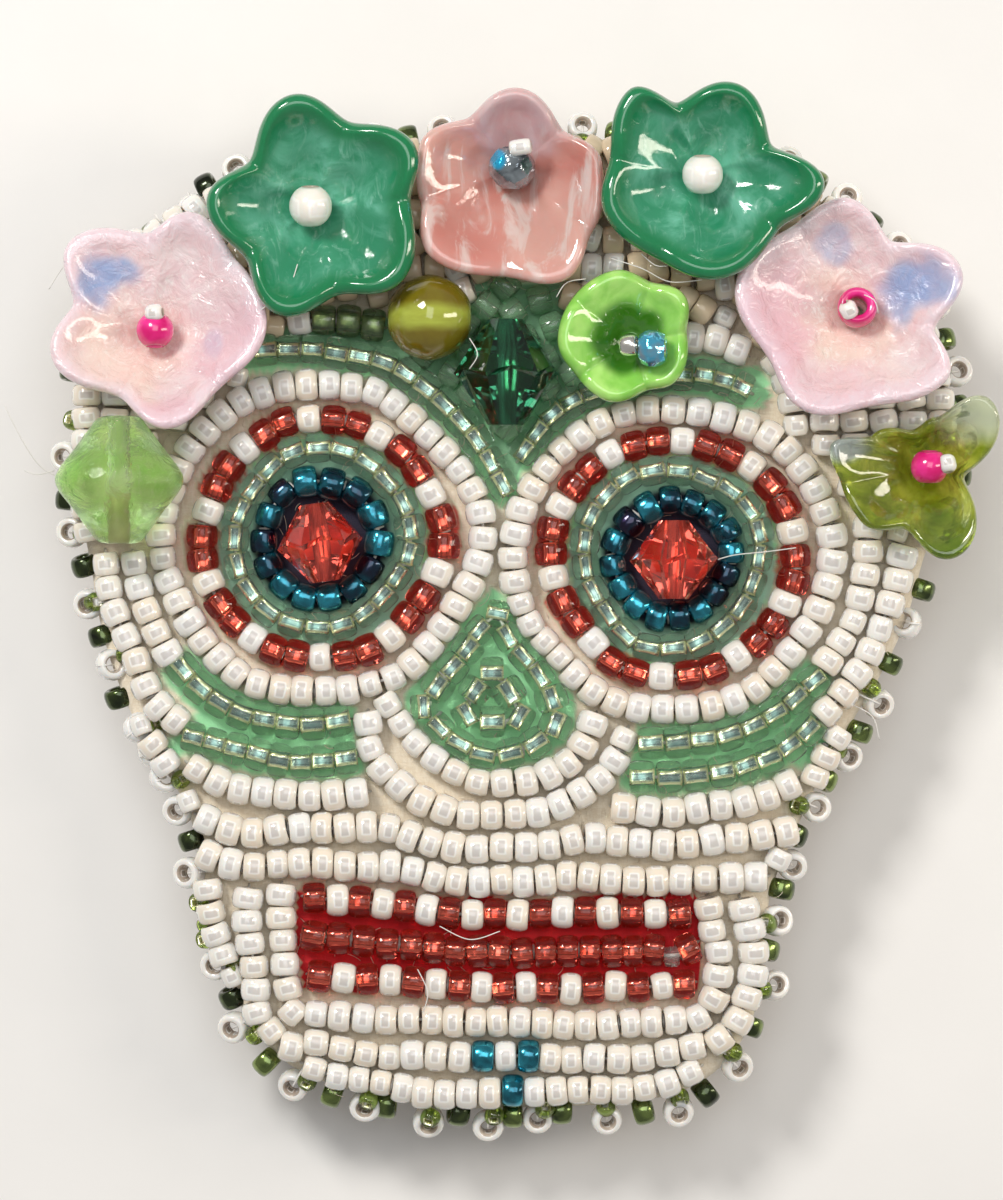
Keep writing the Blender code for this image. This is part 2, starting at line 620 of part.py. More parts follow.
post = box("catch_post", CATCH_X - 1.9, CATCH_X + 1.9, PIN_Y - 1.9, PIN_Y + 1.9, foot_z0, foot_z1,
           "steel")
neck = box("post_neck", CATCH_X - HOUSING_L / 2, CATCH_X + HOUSING_L / 2, PIN_Y - 0.60,
           PIN_Y + 0.60, STEM_Z + 1.65, foot_z0 + 0.25, None, cutters)
combine(post, neck, "UNION")
housing = cylinder("post_housing", HOUSING_R, HOUSING_L, (CATCH_X, PIN_Y, STEM_Z), "X", 20, None,
                   cutters)
combine(post, housing, "UNION")
housing_bore = cylinder("housing_bore", HOUSING_BORE_R, 4.0, (CATCH_X, PIN_Y, STEM_Z), "X", 20,
                        None, cutters)
combine(post, housing_bore, "DIFFERENCE")
housing_mouth = box("housing_mouth", CATCH_X - 2.0, CATCH_X + 2.0, PIN_Y - CATCH_MOUTH / 2,
                    PIN_Y + CATCH_MOUTH / 2, STEM_Z - 3.0, STEM_Z, None, cutters)
combine(post, housing_mouth, "DIFFERENCE")

sleeve = cylinder("catch_sleeve", SLEEVE_R, SLEEVE_L, (0.0, 0.0, 0.0), "X", 18, "steel")
sleeve.parent = catch_axis
sleeve.location = (0.0, 0.0, 0.0)
tab = box("sleeve_tab", CATCH_X - SLEEVE_L / 2, CATCH_X - HOUSING_L / 2 - 0.20, PIN_Y + 0.95,
          PIN_Y + 2.60, STEM_Z - 0.30, STEM_Z + 0.30, None, cutters)
combine(sleeve, tab, "UNION")
sleeve_bore = cylinder("sleeve_bore", SLEEVE_BORE_R, 4.0, (CATCH_X, PIN_Y, STEM_Z), "X", 16, None,
                       cutters)
combine(sleeve, sleeve_bore, "DIFFERENCE")
sleeve_mouth = box("sleeve_mouth", CATCH_X - 2.0, CATCH_X + 2.0, PIN_Y - 0.55, PIN_Y + 0.55,
                   STEM_Z - 3.0, STEM_Z, None, cutters)
combine(sleeve, sleeve_mouth, "DIFFERENCE")

# ---------------------------------------------------------------- shading of round pieces
for ob in parts.objects:
    if ob.type == "MESH" and ob.name.startswith(("hinge_rivet", "pin_stem", "catch_")):
        ob.data.shade_smooth()
        ob.data.set_sharp_from_angle(angle=math.radians(40))
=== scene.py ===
import json
import math
import random

import bmesh
import bpy
import numpy as np
from mathutils import Euler, Matrix, Vector, noise
from mathutils.kdtree import KDTree

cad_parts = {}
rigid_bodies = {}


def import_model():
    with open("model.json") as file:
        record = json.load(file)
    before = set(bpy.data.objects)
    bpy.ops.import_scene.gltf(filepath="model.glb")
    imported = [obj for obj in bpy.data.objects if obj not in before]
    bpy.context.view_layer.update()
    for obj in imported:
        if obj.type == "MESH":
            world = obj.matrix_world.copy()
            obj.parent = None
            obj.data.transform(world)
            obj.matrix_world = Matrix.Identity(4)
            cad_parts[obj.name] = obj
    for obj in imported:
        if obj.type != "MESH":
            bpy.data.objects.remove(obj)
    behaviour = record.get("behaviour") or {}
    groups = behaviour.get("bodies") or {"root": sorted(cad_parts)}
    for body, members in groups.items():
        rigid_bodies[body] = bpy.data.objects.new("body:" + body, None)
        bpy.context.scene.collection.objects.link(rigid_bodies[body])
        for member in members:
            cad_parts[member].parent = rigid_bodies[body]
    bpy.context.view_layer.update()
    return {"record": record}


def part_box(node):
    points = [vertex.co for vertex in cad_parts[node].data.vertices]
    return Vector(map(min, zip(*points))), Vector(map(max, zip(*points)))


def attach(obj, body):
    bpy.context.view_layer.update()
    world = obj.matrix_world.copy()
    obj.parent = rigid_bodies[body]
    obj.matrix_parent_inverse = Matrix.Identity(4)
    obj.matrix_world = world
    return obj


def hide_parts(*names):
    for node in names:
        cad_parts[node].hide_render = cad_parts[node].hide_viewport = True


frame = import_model()

# ---------------------------------------------------------------- layout
# The beading pattern is drawn at 15 units to the millimetre, y down, as in the CAD model.
MM = 0.001
CENTRE_X, CENTRE_Y = 522.7, 613.1
FELT_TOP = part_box("foundation")[1].z / MM
FELT_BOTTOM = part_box("foundation")[0].z / MM
BACK_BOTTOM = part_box("backing")[0].z / MM
BACK_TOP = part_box("backing")[1].z / MM
BODY = "brooch"
rng = random.Random(20117)

OUTLINE = [
    (80, 440), (84, 370), (100, 310), (130, 255), (175, 215), (240, 185), (320, 165), (400, 150),
    (510, 143), (620, 145), (705, 152), (790, 180), (860, 230), (910, 290), (938, 360), (948, 430),
    (945, 500), (925, 560), (908, 620), (885, 670), (855, 720), (825, 770), (798, 830), (775, 885),
    (762, 950), (758, 1005), (738, 1050), (700, 1085), (640, 1104), (575, 1108), (510, 1110),
    (450, 1110), (390, 1101), (335, 1088), (285, 1064), (250, 1025), (225, 975), (208, 925),
    (198, 860), (186, 810), (160, 765), (135, 725), (112, 670), (98, 620), (90, 570), (80, 510),
]


def at(x, y):
    """A pattern point in millimetres."""
    return np.array([(x - CENTRE_X) / 15, (CENTRE_Y - y) / 15])


def smooth_line(points, spacing, closed):
    """Points a given spacing apart on a Catmull-Rom curve through the given ones, in mm."""
    pts = np.array(points, float)
    n = len(pts)
    fine = []
    for i in range(n if closed else n - 1):
        if closed:
            a, b, c, d = pts[(i - 1) % n], pts[i], pts[(i + 1) % n], pts[(i + 2) % n]
        else:
            a, b, c, d = pts[max(i - 1, 0)], pts[i], pts[i + 1], pts[min(i + 2, n - 1)]
        for k in range(16):
            t = k / 16
            fine.append(0.5 * (2 * b + (c - a) * t + (2 * a - 5 * b + 4 * c - d) * t * t
                               + (3 * b - a - 3 * c + d) * t ** 3))
    fine.append(pts[0] if closed else pts[-1])
    fine = np.array(fine)
    run = np.concatenate([[0], np.cumsum(np.linalg.norm(np.diff(fine, axis=0), axis=1))])
    count = max(2, int(round(run[-1] / spacing)))
    want = np.linspace(0, run[-1], count + 1)[: count if closed else count + 1]
    return np.stack([np.interp(want, run, fine[:, k]) for k in range(fine.shape[1])], 1)


def offset_loop(points, distance):
    """A closed loop moved outwards by a distance."""
    nxt, prv = np.roll(points, -1, 0), np.roll(points, 1, 0)
    along = nxt - prv
    along /= np.linalg.norm(along, axis=1)[:, None]
    side = np.stack([-along[:, 1], along[:, 0]], 1)
    area = 0.5 * np.sum(points[:, 0] * nxt[:, 1] - nxt[:, 0] * points[:, 1])
    return points + side * distance * (-1 if area > 0 else 1)


RIM = smooth_line([at(*p) for p in OUTLINE], 0.5, True)

# ---------------------------------------------------------------- mesh helpers
PIECES = []


def new_mesh(name, verts, faces, mats, face_mats=None, smooth=True, attrs=None, body=BODY,
             nodes=(), slot=None):
    """A piece from arrays: verts in mm, faces all of one length or a list of tuples."""
    mesh = bpy.data.meshes.new(name)
    verts = np.asarray(verts, np.float32) * MM
    if isinstance(faces, np.ndarray):
        k = faces.shape[1]
        mesh.vertices.add(len(verts))
        mesh.vertices.foreach_set("co", verts.ravel())
        mesh.loops.add(faces.size)
        mesh.loops.foreach_set("vertex_index", faces.astype(np.int32).ravel())
        mesh.polygons.add(len(faces))
        mesh.polygons.foreach_set("loop_start", np.arange(0, faces.size, k, dtype=np.int32))
        mesh.update(calc_edges=True)
    else:
        mesh.from_pydata([tuple(v) for v in verts], [], faces)
    for m in mats:
        mesh.materials.append(m)
    if face_mats is not None:
        mesh.polygons.foreach_set("material_index", np.asarray(face_mats, np.int32))
    mesh.polygons.foreach_set("use_smooth", np.full(len(mesh.polygons), smooth, bool))
    for key, values in (attrs or {}).items():
        values = np.asarray(values, np.float32)
        kind = "FLOAT_VECTOR" if values.ndim == 2 else "FLOAT"
        attribute = mesh.attributes.new(key, kind, "POINT")
        attribute.data.foreach_set("vector" if values.ndim == 2 else "value", values.ravel())
    mesh.update()
    mesh.validate()
    ob = bpy.data.objects.new(name, mesh)
    bpy.context.scene.collection.objects.link(ob)
    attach(ob, body)
    if nodes:
        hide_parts(*nodes)
    PIECES.append(ob)
    return ob


class Build:
    """Gathers shapes for one piece, each with its materials and attributes."""

    def __init__(self):
        self.v, self.f, self.m, self.bead, self.rnd, self.n = [], [], [], [], [], 0

    def add(self, verts, quads, mat, bead=None, rnd=0.0):
        verts = np.asarray(verts, float)
        self.v.append(verts)
        self.f.append(np.asarray(quads) + self.n)
        self.m.append(np.broadcast_to(np.asarray(mat), (len(quads),)))
        self.bead.append(np.zeros_like(verts) if bead is None else bead)
        self.rnd.append(np.full(len(verts), rnd))
        self.n += len(verts)

    def piece(self, name, mats, **more):
        return new_mesh(
            name, np.concatenate(self.v), np.concatenate(self.f), mats, np.concatenate(self.m),
            attrs={"bead": np.concatenate(self.bead), "rnd": np.concatenate(self.rnd)}, **more)


def loop_grid(rings, around):
    """Quads joining rings of the same number of points, all closed both ways (a ring torus)."""
    i, j = np.meshgrid(np.arange(rings), np.arange(around), indexing="ij")
    a = i * around + j
    b = i * around + (j + 1) % around
    c = ((i + 1) % rings) * around + (j + 1) % around
    d = ((i + 1) % rings) * around + j
    return np.stack([a, b, c, d], -1).reshape(-1, 4)


def outward(verts, quads):
    """The same quads, turned so that the closed surface faces out."""
    p = verts[quads]
    volume = np.einsum("ij,ij->i", p[:, 0], np.cross(p[:, 1], p[:, 2])).sum()
    volume += np.einsum("ij,ij->i", p[:, 0], np.cross(p[:, 2], p[:, 3])).sum()
    return quads if volume > 0 else quads[:, ::-1]


def bead_shape(half, radius, hole, power=3.0, around=20, outer=11, inner=5, square=False,
               lumps=0.0, seed=0):
    """A seed bead along X. Returns its points, quads, a mask of the hole's quads and each
    point's place in the bead: (-1..1 along the hole, cos, sin of the angle about it)."""
    mid, thick = (radius + hole) / 2, (radius - hole) / 2
    r = random.Random(seed)
    prof = []
    for k in range(outer):
        t = math.pi * (k + 0.5) / outer
        c, s = math.cos(t), math.sin(t)
        prof.append((half * math.copysign(abs(c) ** (2 / power), c), thick * s ** (2 / power), 0))
    for k in range(inner):
        t = math.pi * (k + 0.5) / inner
        c, s = -math.cos(t), math.sin(t)
        prof.append((half * 0.96 * math.copysign(abs(c) ** 0.55, c), -thick * s ** 0.5, 1))
    prof = np.array(prof)
    a = 2 * math.pi * (np.arange(around) + 0.5) / around
    wave = 1 + lumps * (0.6 * np.cos(2 * a + r.uniform(0, 6.28)) + 0.4 * np.cos(3 * a + r.uniform(0, 6.28)))
    lean = lumps * r.uniform(-1.2, 1.2)
    square_r = 1 / np.maximum(np.abs(np.cos(a)), np.abs(np.sin(a))) ** 0.9 if square else np.ones(around)
    x = prof[:, 0][:, None] * np.ones(around)[None]
    rad = np.where(
        prof[:, 2][:, None] > 0,
        (mid + prof[:, 1][:, None]) * square_r[None],
        (mid + prof[:, 1][:, None]) * wave[None] * (1 + lean * prof[:, 0][:, None] / half))
    y, z = rad * np.cos(a)[None], rad * np.sin(a)[None]
    verts = np.stack([x, y, z], -1).reshape(-1, 3)
    quads = outward(verts, loop_grid(len(prof), around))
    hole_ring = prof[:, 2] > 0
    ring_of = quads // around
    lining = hole_ring[ring_of].all(1)
    place = np.stack([x / half, np.cos(a)[None] * np.ones_like(x), np.sin(a)[None] * np.ones_like(x)],
                     -1).reshape(-1, 3)
    return verts, quads, lining, place


def frame_of(along, up=(0, 0, 1), roll=0.0):
    """A rotation whose X runs along a direction and whose Z leans to up, as a 3x3 array."""
    x = Vector(along).normalized()
    z = (Vector(up) - x * Vector(up).dot(x)).normalized()
    y = z.cross(x)
    m = Matrix((x, y, z)).transposed() @ Matrix.Rotation(roll, 3, "X")
    return np.array(m)


def tube_shape(points, radius, around=6, taper=None, closed=False):
    """A round tube through 3-D points, closed at its ends."""
    pts = np.asarray(points, float)
    n = len(pts)
    if closed:
        along = np.roll(pts, -1, 0) - np.roll(pts, 1, 0)
    else:
        along = np.gradient(pts, axis=0)
    along /= np.maximum(np.linalg.norm(along, axis=1), 1e-9)[:, None]
    ref = np.array([0.0, 0.0, 1.0]) if abs(along[0][2]) < 0.9 else np.array([0.0, 1.0, 0.0])
    side = np.cross(along[0], ref)
    side /= np.linalg.norm(side)
    out = []
    for k in range(n):
        side = side - along[k] * side.dot(along[k])
        side /= max(np.linalg.norm(side), 1e-9)
        other = np.cross(along[k], side)
        r = radius * (taper[k] if taper is not None else 1.0)
        a = 2 * math.pi * np.arange(around) / around
        out.append(pts[k] + r * (np.cos(a)[:, None] * side + np.sin(a)[:, None] * other))
    verts = np.concatenate(out)
    i, j = np.meshgrid(np.arange(n if closed else n - 1), np.arange(around), indexing="ij")
    q = np.stack([i * around + j, i * around + (j + 1) % around,
                  ((i + 1) % n) * around + (j + 1) % around, ((i + 1) % n) * around + j],
                 -1).reshape(-1, 4)
    if not closed:
        first, last = len(verts), len(verts) + 1
        verts = np.concatenate([verts, [pts[0], pts[-1]]])
        j = np.arange(0, around, 2)
        q = np.concatenate([
            q,
            np.stack([np.full(len(j), first), (j + 2) % around, (j + 1) % around, j], -1),
            np.stack([np.full(len(j), last), (n - 1) * around + j,
                      (n - 1) * around + (j + 1) % around, (n - 1) * around + (j + 2) % around], -1)])
    return verts, outward(verts, q)


# ---------------------------------------------------------------- material helpers
def material(name, colour=(0.8, 0.8, 0.8), rough=0.3, metal=0.0, **inputs):
    mat = bpy.data.materials.new(name)
    mat.use_nodes = True
    s = mat.node_tree.nodes["Principled BSDF"]
    s.inputs["Base Color"].default_value = (*colour, 1)
    s.inputs["Roughness"].default_value = rough
    s.inputs["Metallic"].default_value = metal
    for key, value in inputs.items():
        s.inputs[key.replace("_", " ")].default_value = value
    return mat, mat.node_tree, s


def node(tree, kind, **values):
    n = tree.nodes.new(kind)
    for key, value in values.items():
        if key.startswith("in_"):
            n.inputs[key[3:].replace("_", " ")].default_value = value
        else:
            setattr(n, key, value)
    return n


def link(tree, a, b):
    tree.links.new(a, b)


def out(n, name=0):
    return n.outputs[name]


def attr(tree, name):
    return node(tree, "ShaderNodeAttribute", attribute_name=name)


def maths(tree, operation, a, b=None, c=None, clamp=False):
    n = node(tree, "ShaderNodeMath", operation=operation, use_clamp=clamp)
    for k, v in enumerate((a, b, c)):
        if v is None:
            continue
        if isinstance(v, (int, float)):
            n.inputs[k].default_value = v
        else:
            link(tree, v, n.inputs[k])
    return n.outputs[0]


def step(tree, value, low, high):
    """0 below low, 1 above high, smooth between; low may be above high."""
    n = node(tree, "ShaderNodeMapRange", interpolation_type="SMOOTHSTEP")
    link(tree, value, n.inputs["Value"])
    n.inputs["From Min"].default_value = low
    n.inputs["From Max"].default_value = high
    return n.outputs["Result"]


def mix(tree, factor, a, b, blend="MIX"):
    n = node(tree, "ShaderNodeMix", data_type="RGBA", blend_type=blend)
    n.clamp_factor = True
    for socket, v in ((n.inputs["Factor"], factor), (n.inputs[6], a), (n.inputs[7], b)):
        if isinstance(v, (int, float)):
            socket.default_value = v
        elif isinstance(v, tuple):
            socket.default_value = (*v, 1) if len(v) == 3 else v
        else:
            link(tree, v, socket)
    return n.outputs[2]


def noise_tex(tree, scale, detail=3.0, rough=0.5, distortion=0.0, stretch=None, coords="Object"):
    """Noise in the piece's own space; scale is per millimetre."""
    tc = node(tree, "ShaderNodeTexCoord")
    mp = node(tree, "ShaderNodeMapping")
    link(tree, tc.outputs[coords], mp.inputs["Vector"])
    s = stretch or (1, 1, 1)
    mp.inputs["Scale"].default_value = (scale * 1000 * s[0], scale * 1000 * s[1], scale * 1000 * s[2])
    n = node(tree, "ShaderNodeTexNoise", in_Detail=detail, in_Roughness=rough, in_Distortion=distortion)
    n.inputs["Scale"].default_value = 1.0
    link(tree, mp.outputs[0], n.inputs["Vector"])
    return n


def bump(tree, shader, height, strength, distance):
    n = node(tree, "ShaderNodeBump", in_Strength=strength, in_Distance=distance * MM)
    link(tree, height, n.inputs["Height"])
    link(tree, n.outputs[0], shader.inputs["Normal"])
    return n


# ---------------------------------------------------------------- bead materials
def pearl_material(name, base, edge, hole_shade, rough=0.16, sss=0.35, coat=0.5):
    """Opaque glass with a pearl coat: a greyer patch of painted shade shows where the hole lies under each side,
    ringed by a painted highlight, and the bead's ends are painted a warmer shade where they meet their neighbours.
    """
    mat, t, s = material(name, base, rough)
    s.inputs["Subsurface Weight"].default_value = sss
    s.inputs["Subsurface Radius"].default_value = (1.0, 0.8, 0.65)
    s.inputs["Subsurface Scale"].default_value = 0.0007
    s.inputs["Coat Weight"].default_value = coat
    s.inputs["Coat Roughness"].default_value = 0.04
    s.inputs["IOR"].default_value = 1.52
    place = node(t, "ShaderNodeSeparateXYZ")
    link(t, attr(t, "bead").outputs["Vector"], place.inputs[0])
    x = maths(t, "ABSOLUTE", place.outputs[0])
    y = maths(t, "ABSOLUTE", place.outputs[1])
    z = maths(t, "ABSOLUTE", place.outputs[2])
    side = maths(t, "MAXIMUM", y, z)
    wobble = noise_tex(t, 0.9, 2).outputs["Fac"]
    inside = maths(t, "MULTIPLY", step(t, maths(t, "ADD", x, maths(t, "MULTIPLY", wobble, 0.35)), 0.72, 0.42),
                   step(t, side, 0.82, 0.93))
    rnd = attr(t, "rnd").outputs["Fac"]
    tone = mix(t, rnd, base, edge)
    # the greyer patch over the hole is painted shade
    patch = mix(t, maths(t, "MULTIPLY", inside, 0.75), tone, hole_shade)
    # a near-white ring round the patch is a painted highlight
    window_highlight = maths(t, "MULTIPLY", maths(t, "MULTIPLY", inside, maths(t, "SUBTRACT", 1.0, inside)), 3.6, clamp=True)
    patch = mix(t, maths(t, "MULTIPLY", window_highlight, 0.85), patch, (0.98, 0.97, 0.93))
    # the ends of each bead are painted warmer: painted shade where beads meet
    ends = step(t, x, 0.80, 1.0)
    end_shaded = mix(t, maths(t, "MULTIPLY", ends, 0.55), patch, edge)
    link(t, end_shaded, s.inputs["Base Color"])
    r = maths(t, "ADD", maths(t, "MULTIPLY", noise_tex(t, 1.7, 3).outputs["Fac"], 0.16), rough - 0.06)
    link(t, r, s.inputs["Roughness"])
    bump(t, s, noise_tex(t, 1.1, 2).outputs["Fac"], 0.25, 0.10)
    return mat


def clear_bead_material(name, tint, deep, rough=0.04, transmission=0.92, ior=1.45):
    """Transparent coloured glass, a little uneven, over a lined hole."""
    mat, t, s = material(name, tint, rough)
    s.inputs["Transmission Weight"].default_value = transmission
    s.inputs["IOR"].default_value = ior
    s.inputs["Coat Weight"].default_value = 0.3
    s.inputs["Coat Roughness"].default_value = 0.03
    rnd = attr(t, "rnd").outputs["Fac"]
    n = noise_tex(t, 0.8, 2).outputs["Fac"]
    link(t, mix(t, maths(t, "MULTIPLY", maths(t, "ADD", rnd, n), 0.5), tint, deep), s.inputs["Base Color"])
    link(t, maths(t, "ADD", maths(t, "MULTIPLY", noise_tex(t, 2.2, 2).outputs["Fac"], 0.08), rough - 0.02),
         s.inputs["Roughness"])
    bump(t, s, noise_tex(t, 1.0, 2).outputs["Fac"], 0.25, 0.12)
    return mat


def lining_material(name, colour, second, rough=0.22, corner_glint=None):
    """The mirror coat in a hole, patchy as it is on small beads, with a painted glint along its corners and ends and a
    band of painted shade just inside the corners.
    """
    if not isinstance(rough, (int, float)):
        rough, corner_glint = 0.22, rough
    mat, t, s = material(name, colour, rough, 1.0)
    n = noise_tex(t, 2.0, 3).outputs["Fac"]
    base = mix(t, step(t, n, 0.35, 0.65), colour, second)
    if corner_glint:
        place = node(t, "ShaderNodeSeparateXYZ")
        link(t, attr(t, "bead").outputs["Vector"], place.inputs[0])
        cross = maths(t, "ABSOLUTE", maths(t, "MULTIPLY", place.outputs[1], place.outputs[2]))
        ends = step(t, maths(t, "ABSOLUTE", place.outputs[0]), 0.70, 0.85)
        edge = maths(t, "MAXIMUM", step(t, cross, 0.38, 0.46), ends)
        # a darker band just inside the corners is painted shade
        seam_shade = maths(t, "MULTIPLY", step(t, cross, 0.22, 0.30), step(t, cross, 0.38, 0.33))
        base = mix(t, maths(t, "MULTIPLY", seam_shade, 0.65), base, tuple(0.30 * v for v in second))
        # the hole's corners and ends take the glint colour: a painted highlight
        base = mix(t, edge, base, corner_glint)
    link(t, base, s.inputs["Base Color"])
    link(t, maths(t, "ADD", maths(t, "MULTIPLY", n, 0.2), rough - 0.04), s.inputs["Roughness"])
    bump(t, s, n, 0.12, 0.06)
    return mat


def iris_material(name, dark, mid, bright, rough=0.2, metal=0.85):
    """Opaque glass with a metallic iris coat in patches."""
    mat, t, s = material(name, mid, rough, metal)
    n = noise_tex(t, 0.75, 2, distortion=0.6).outputs["Fac"]
    rnd = attr(t, "rnd").outputs["Fac"]
    v = maths(t, "ADD", maths(t, "MULTIPLY", n, 0.8), maths(t, "MULTIPLY", rnd, 0.35))
    ramp = node(t, "ShaderNodeValToRGB")
    link(t, v, ramp.inputs[0])
    e = ramp.color_ramp.elements
    e[0].position, e[0].color = 0.34, (*dark, 1)
    e[1].position, e[1].color = 0.78, (*bright, 1)
    m = e.new(0.52)
    m.color = (*mid, 1)
    link(t, ramp.outputs[0], s.inputs["Base Color"])
    link(t, maths(t, "ADD", maths(t, "MULTIPLY", noise_tex(t, 2.5, 2).outputs["Fac"], 0.16), rough - 0.08),
         s.inputs["Roughness"])
    s.inputs["Coat Weight"].default_value = 0.6
    s.inputs["Coat Roughness"].default_value = 0.04
    bump(t, s, noise_tex(t, 1.2, 2).outputs["Fac"], 0.35, 0.12)
    return mat


M_PEARL = pearl_material("pearl_white_glass", (0.86, 0.84, 0.80), (0.84, 0.75, 0.63), (0.58, 0.56, 0.55), sss=0.55)
M_RING = pearl_material("pearl_ring_glass", (0.88, 0.87, 0.84), (0.86, 0.83, 0.78), (0.80, 0.78, 0.75), sss=0.6,
                        coat=0.8)
# the hole walls of the white beads are painted dark brown as shade inside the hole
M_PEARL_HOLE_SHADED = pearl_material("pearl_hole_shaded", (0.55, 0.48, 0.40), (0.40, 0.33, 0.27), (0.3, 0.26, 0.22), coat=0.0)
M_RED = clear_bead_material("red_glass", (0.90, 0.19, 0.13), (0.80, 0.10, 0.065), transmission=0.96, ior=1.30)
M_RED_LINE = lining_material("red_lining", (1.0, 0.97, 0.90), (0.70, 0.48, 0.38), 0.11, (1.0, 1.0, 0.95))
M_GREEN = clear_bead_material("seafoam_glass", (0.93, 1.0, 0.92), (0.84, 0.98, 0.86), transmission=0.96, ior=1.19)
M_GREEN_LINE = lining_material("seafoam_lining", (0.34, 0.46, 0.44), (0.22, 0.36, 0.35), (0.98, 0.95, 0.62))
M_TEAL = iris_material("teal_iris_glass", (0.010, 0.006, 0.030), (0.0, 0.055, 0.09), (0.03, 0.36, 0.48))
M_DARK = iris_material("dark_olive_glass", (0.012, 0.018, 0.006), (0.05, 0.075, 0.02), (0.22, 0.30, 0.08))
M_SPRING = clear_bead_material("spring_green_glass", (0.50, 0.66, 0.14), (0.26, 0.38, 0.06))
M_SPRING_LINE = lining_material("spring_lining", (0.9, 0.9, 0.5), (0.35, 0.42, 0.15), (1.0, 1.0, 0.75))
M_OLIVE_SEED = clear_bead_material("olive_seed_glass", (0.45, 0.62, 0.35), (0.30, 0.42, 0.22), transmission=0.9)
M_OLIVE_LINE = lining_material("olive_lining", (0.75, 0.76, 0.5), (0.35, 0.4, 0.25), 0.35)
M_CLEAR = clear_bead_material("clear_glass", (0.97, 0.96, 0.94), (0.92, 0.90, 0.86))
# peach glass for filling beads among the flowers; its warmth is partly painted shade
M_PEACH = clear_bead_material("peach_glass", (0.98, 0.84, 0.62), (0.92, 0.72, 0.48), 0.08, 0.30, 1.38)
M_MOSS = clear_bead_material("moss_glass", (0.56, 0.80, 0.58), (0.40, 0.66, 0.42), 0.05, 0.80, 1.34)
M_THREAD, _t, _s = material("nylon_thread", (0.86, 0.84, 0.80), 0.35)
_tw = node(_t, "ShaderNodeTexWave", wave_type="BANDS", bands_direction="DIAGONAL")
_tw.inputs["Scale"].default_value = 6000.0
_tw.inputs["Distortion"].default_value = 1.0
_tc = node(_t, "ShaderNodeTexCoord")
link(_t, _tc.outputs["Object"], _tw.inputs["Vector"])
bump(_t, _s, _tw.outputs["Fac"], 0.4, 0.02)
link(_t, mix(_t, _tw.outputs["Fac"], (0.74, 0.71, 0.66), (0.92, 0.91, 0.88)), _s.inputs["Base Color"])

# type: outer glass, hole surface, shape
BEADS = {
    "W": (M_PEARL, M_PEARL_HOLE_SHADED, dict(power=2.10, square=False)),
    "E": (M_RING, M_PEARL_HOLE_SHADED, dict(power=2.2, square=False)),
    "R": (M_RED, M_RED_LINE, dict(power=2.6, square=True)),
    "G": (M_GREEN, M_GREEN_LINE, dict(power=2.9, square=True)),
    "T": (M_TEAL, M_DARK, dict(power=2.5, square=False)),
    "D": (M_DARK, M_DARK, dict(power=2.4, square=False)),
    "g": (M_SPRING, M_SPRING_LINE, dict(power=2.3, square=True)),
    "O": (M_OLIVE_SEED, M_OLIVE_LINE, dict(power=2.8, square=True)),
    "C": (M_CLEAR, M_CLEAR, dict(power=2.5, square=False)),
    "P": (M_PEACH, M_PEARL_HOLE_SHADED, dict(power=2.5, square=False)),
    "M": (M_MOSS, M_MOSS, dict(power=2.5, square=False)),
}

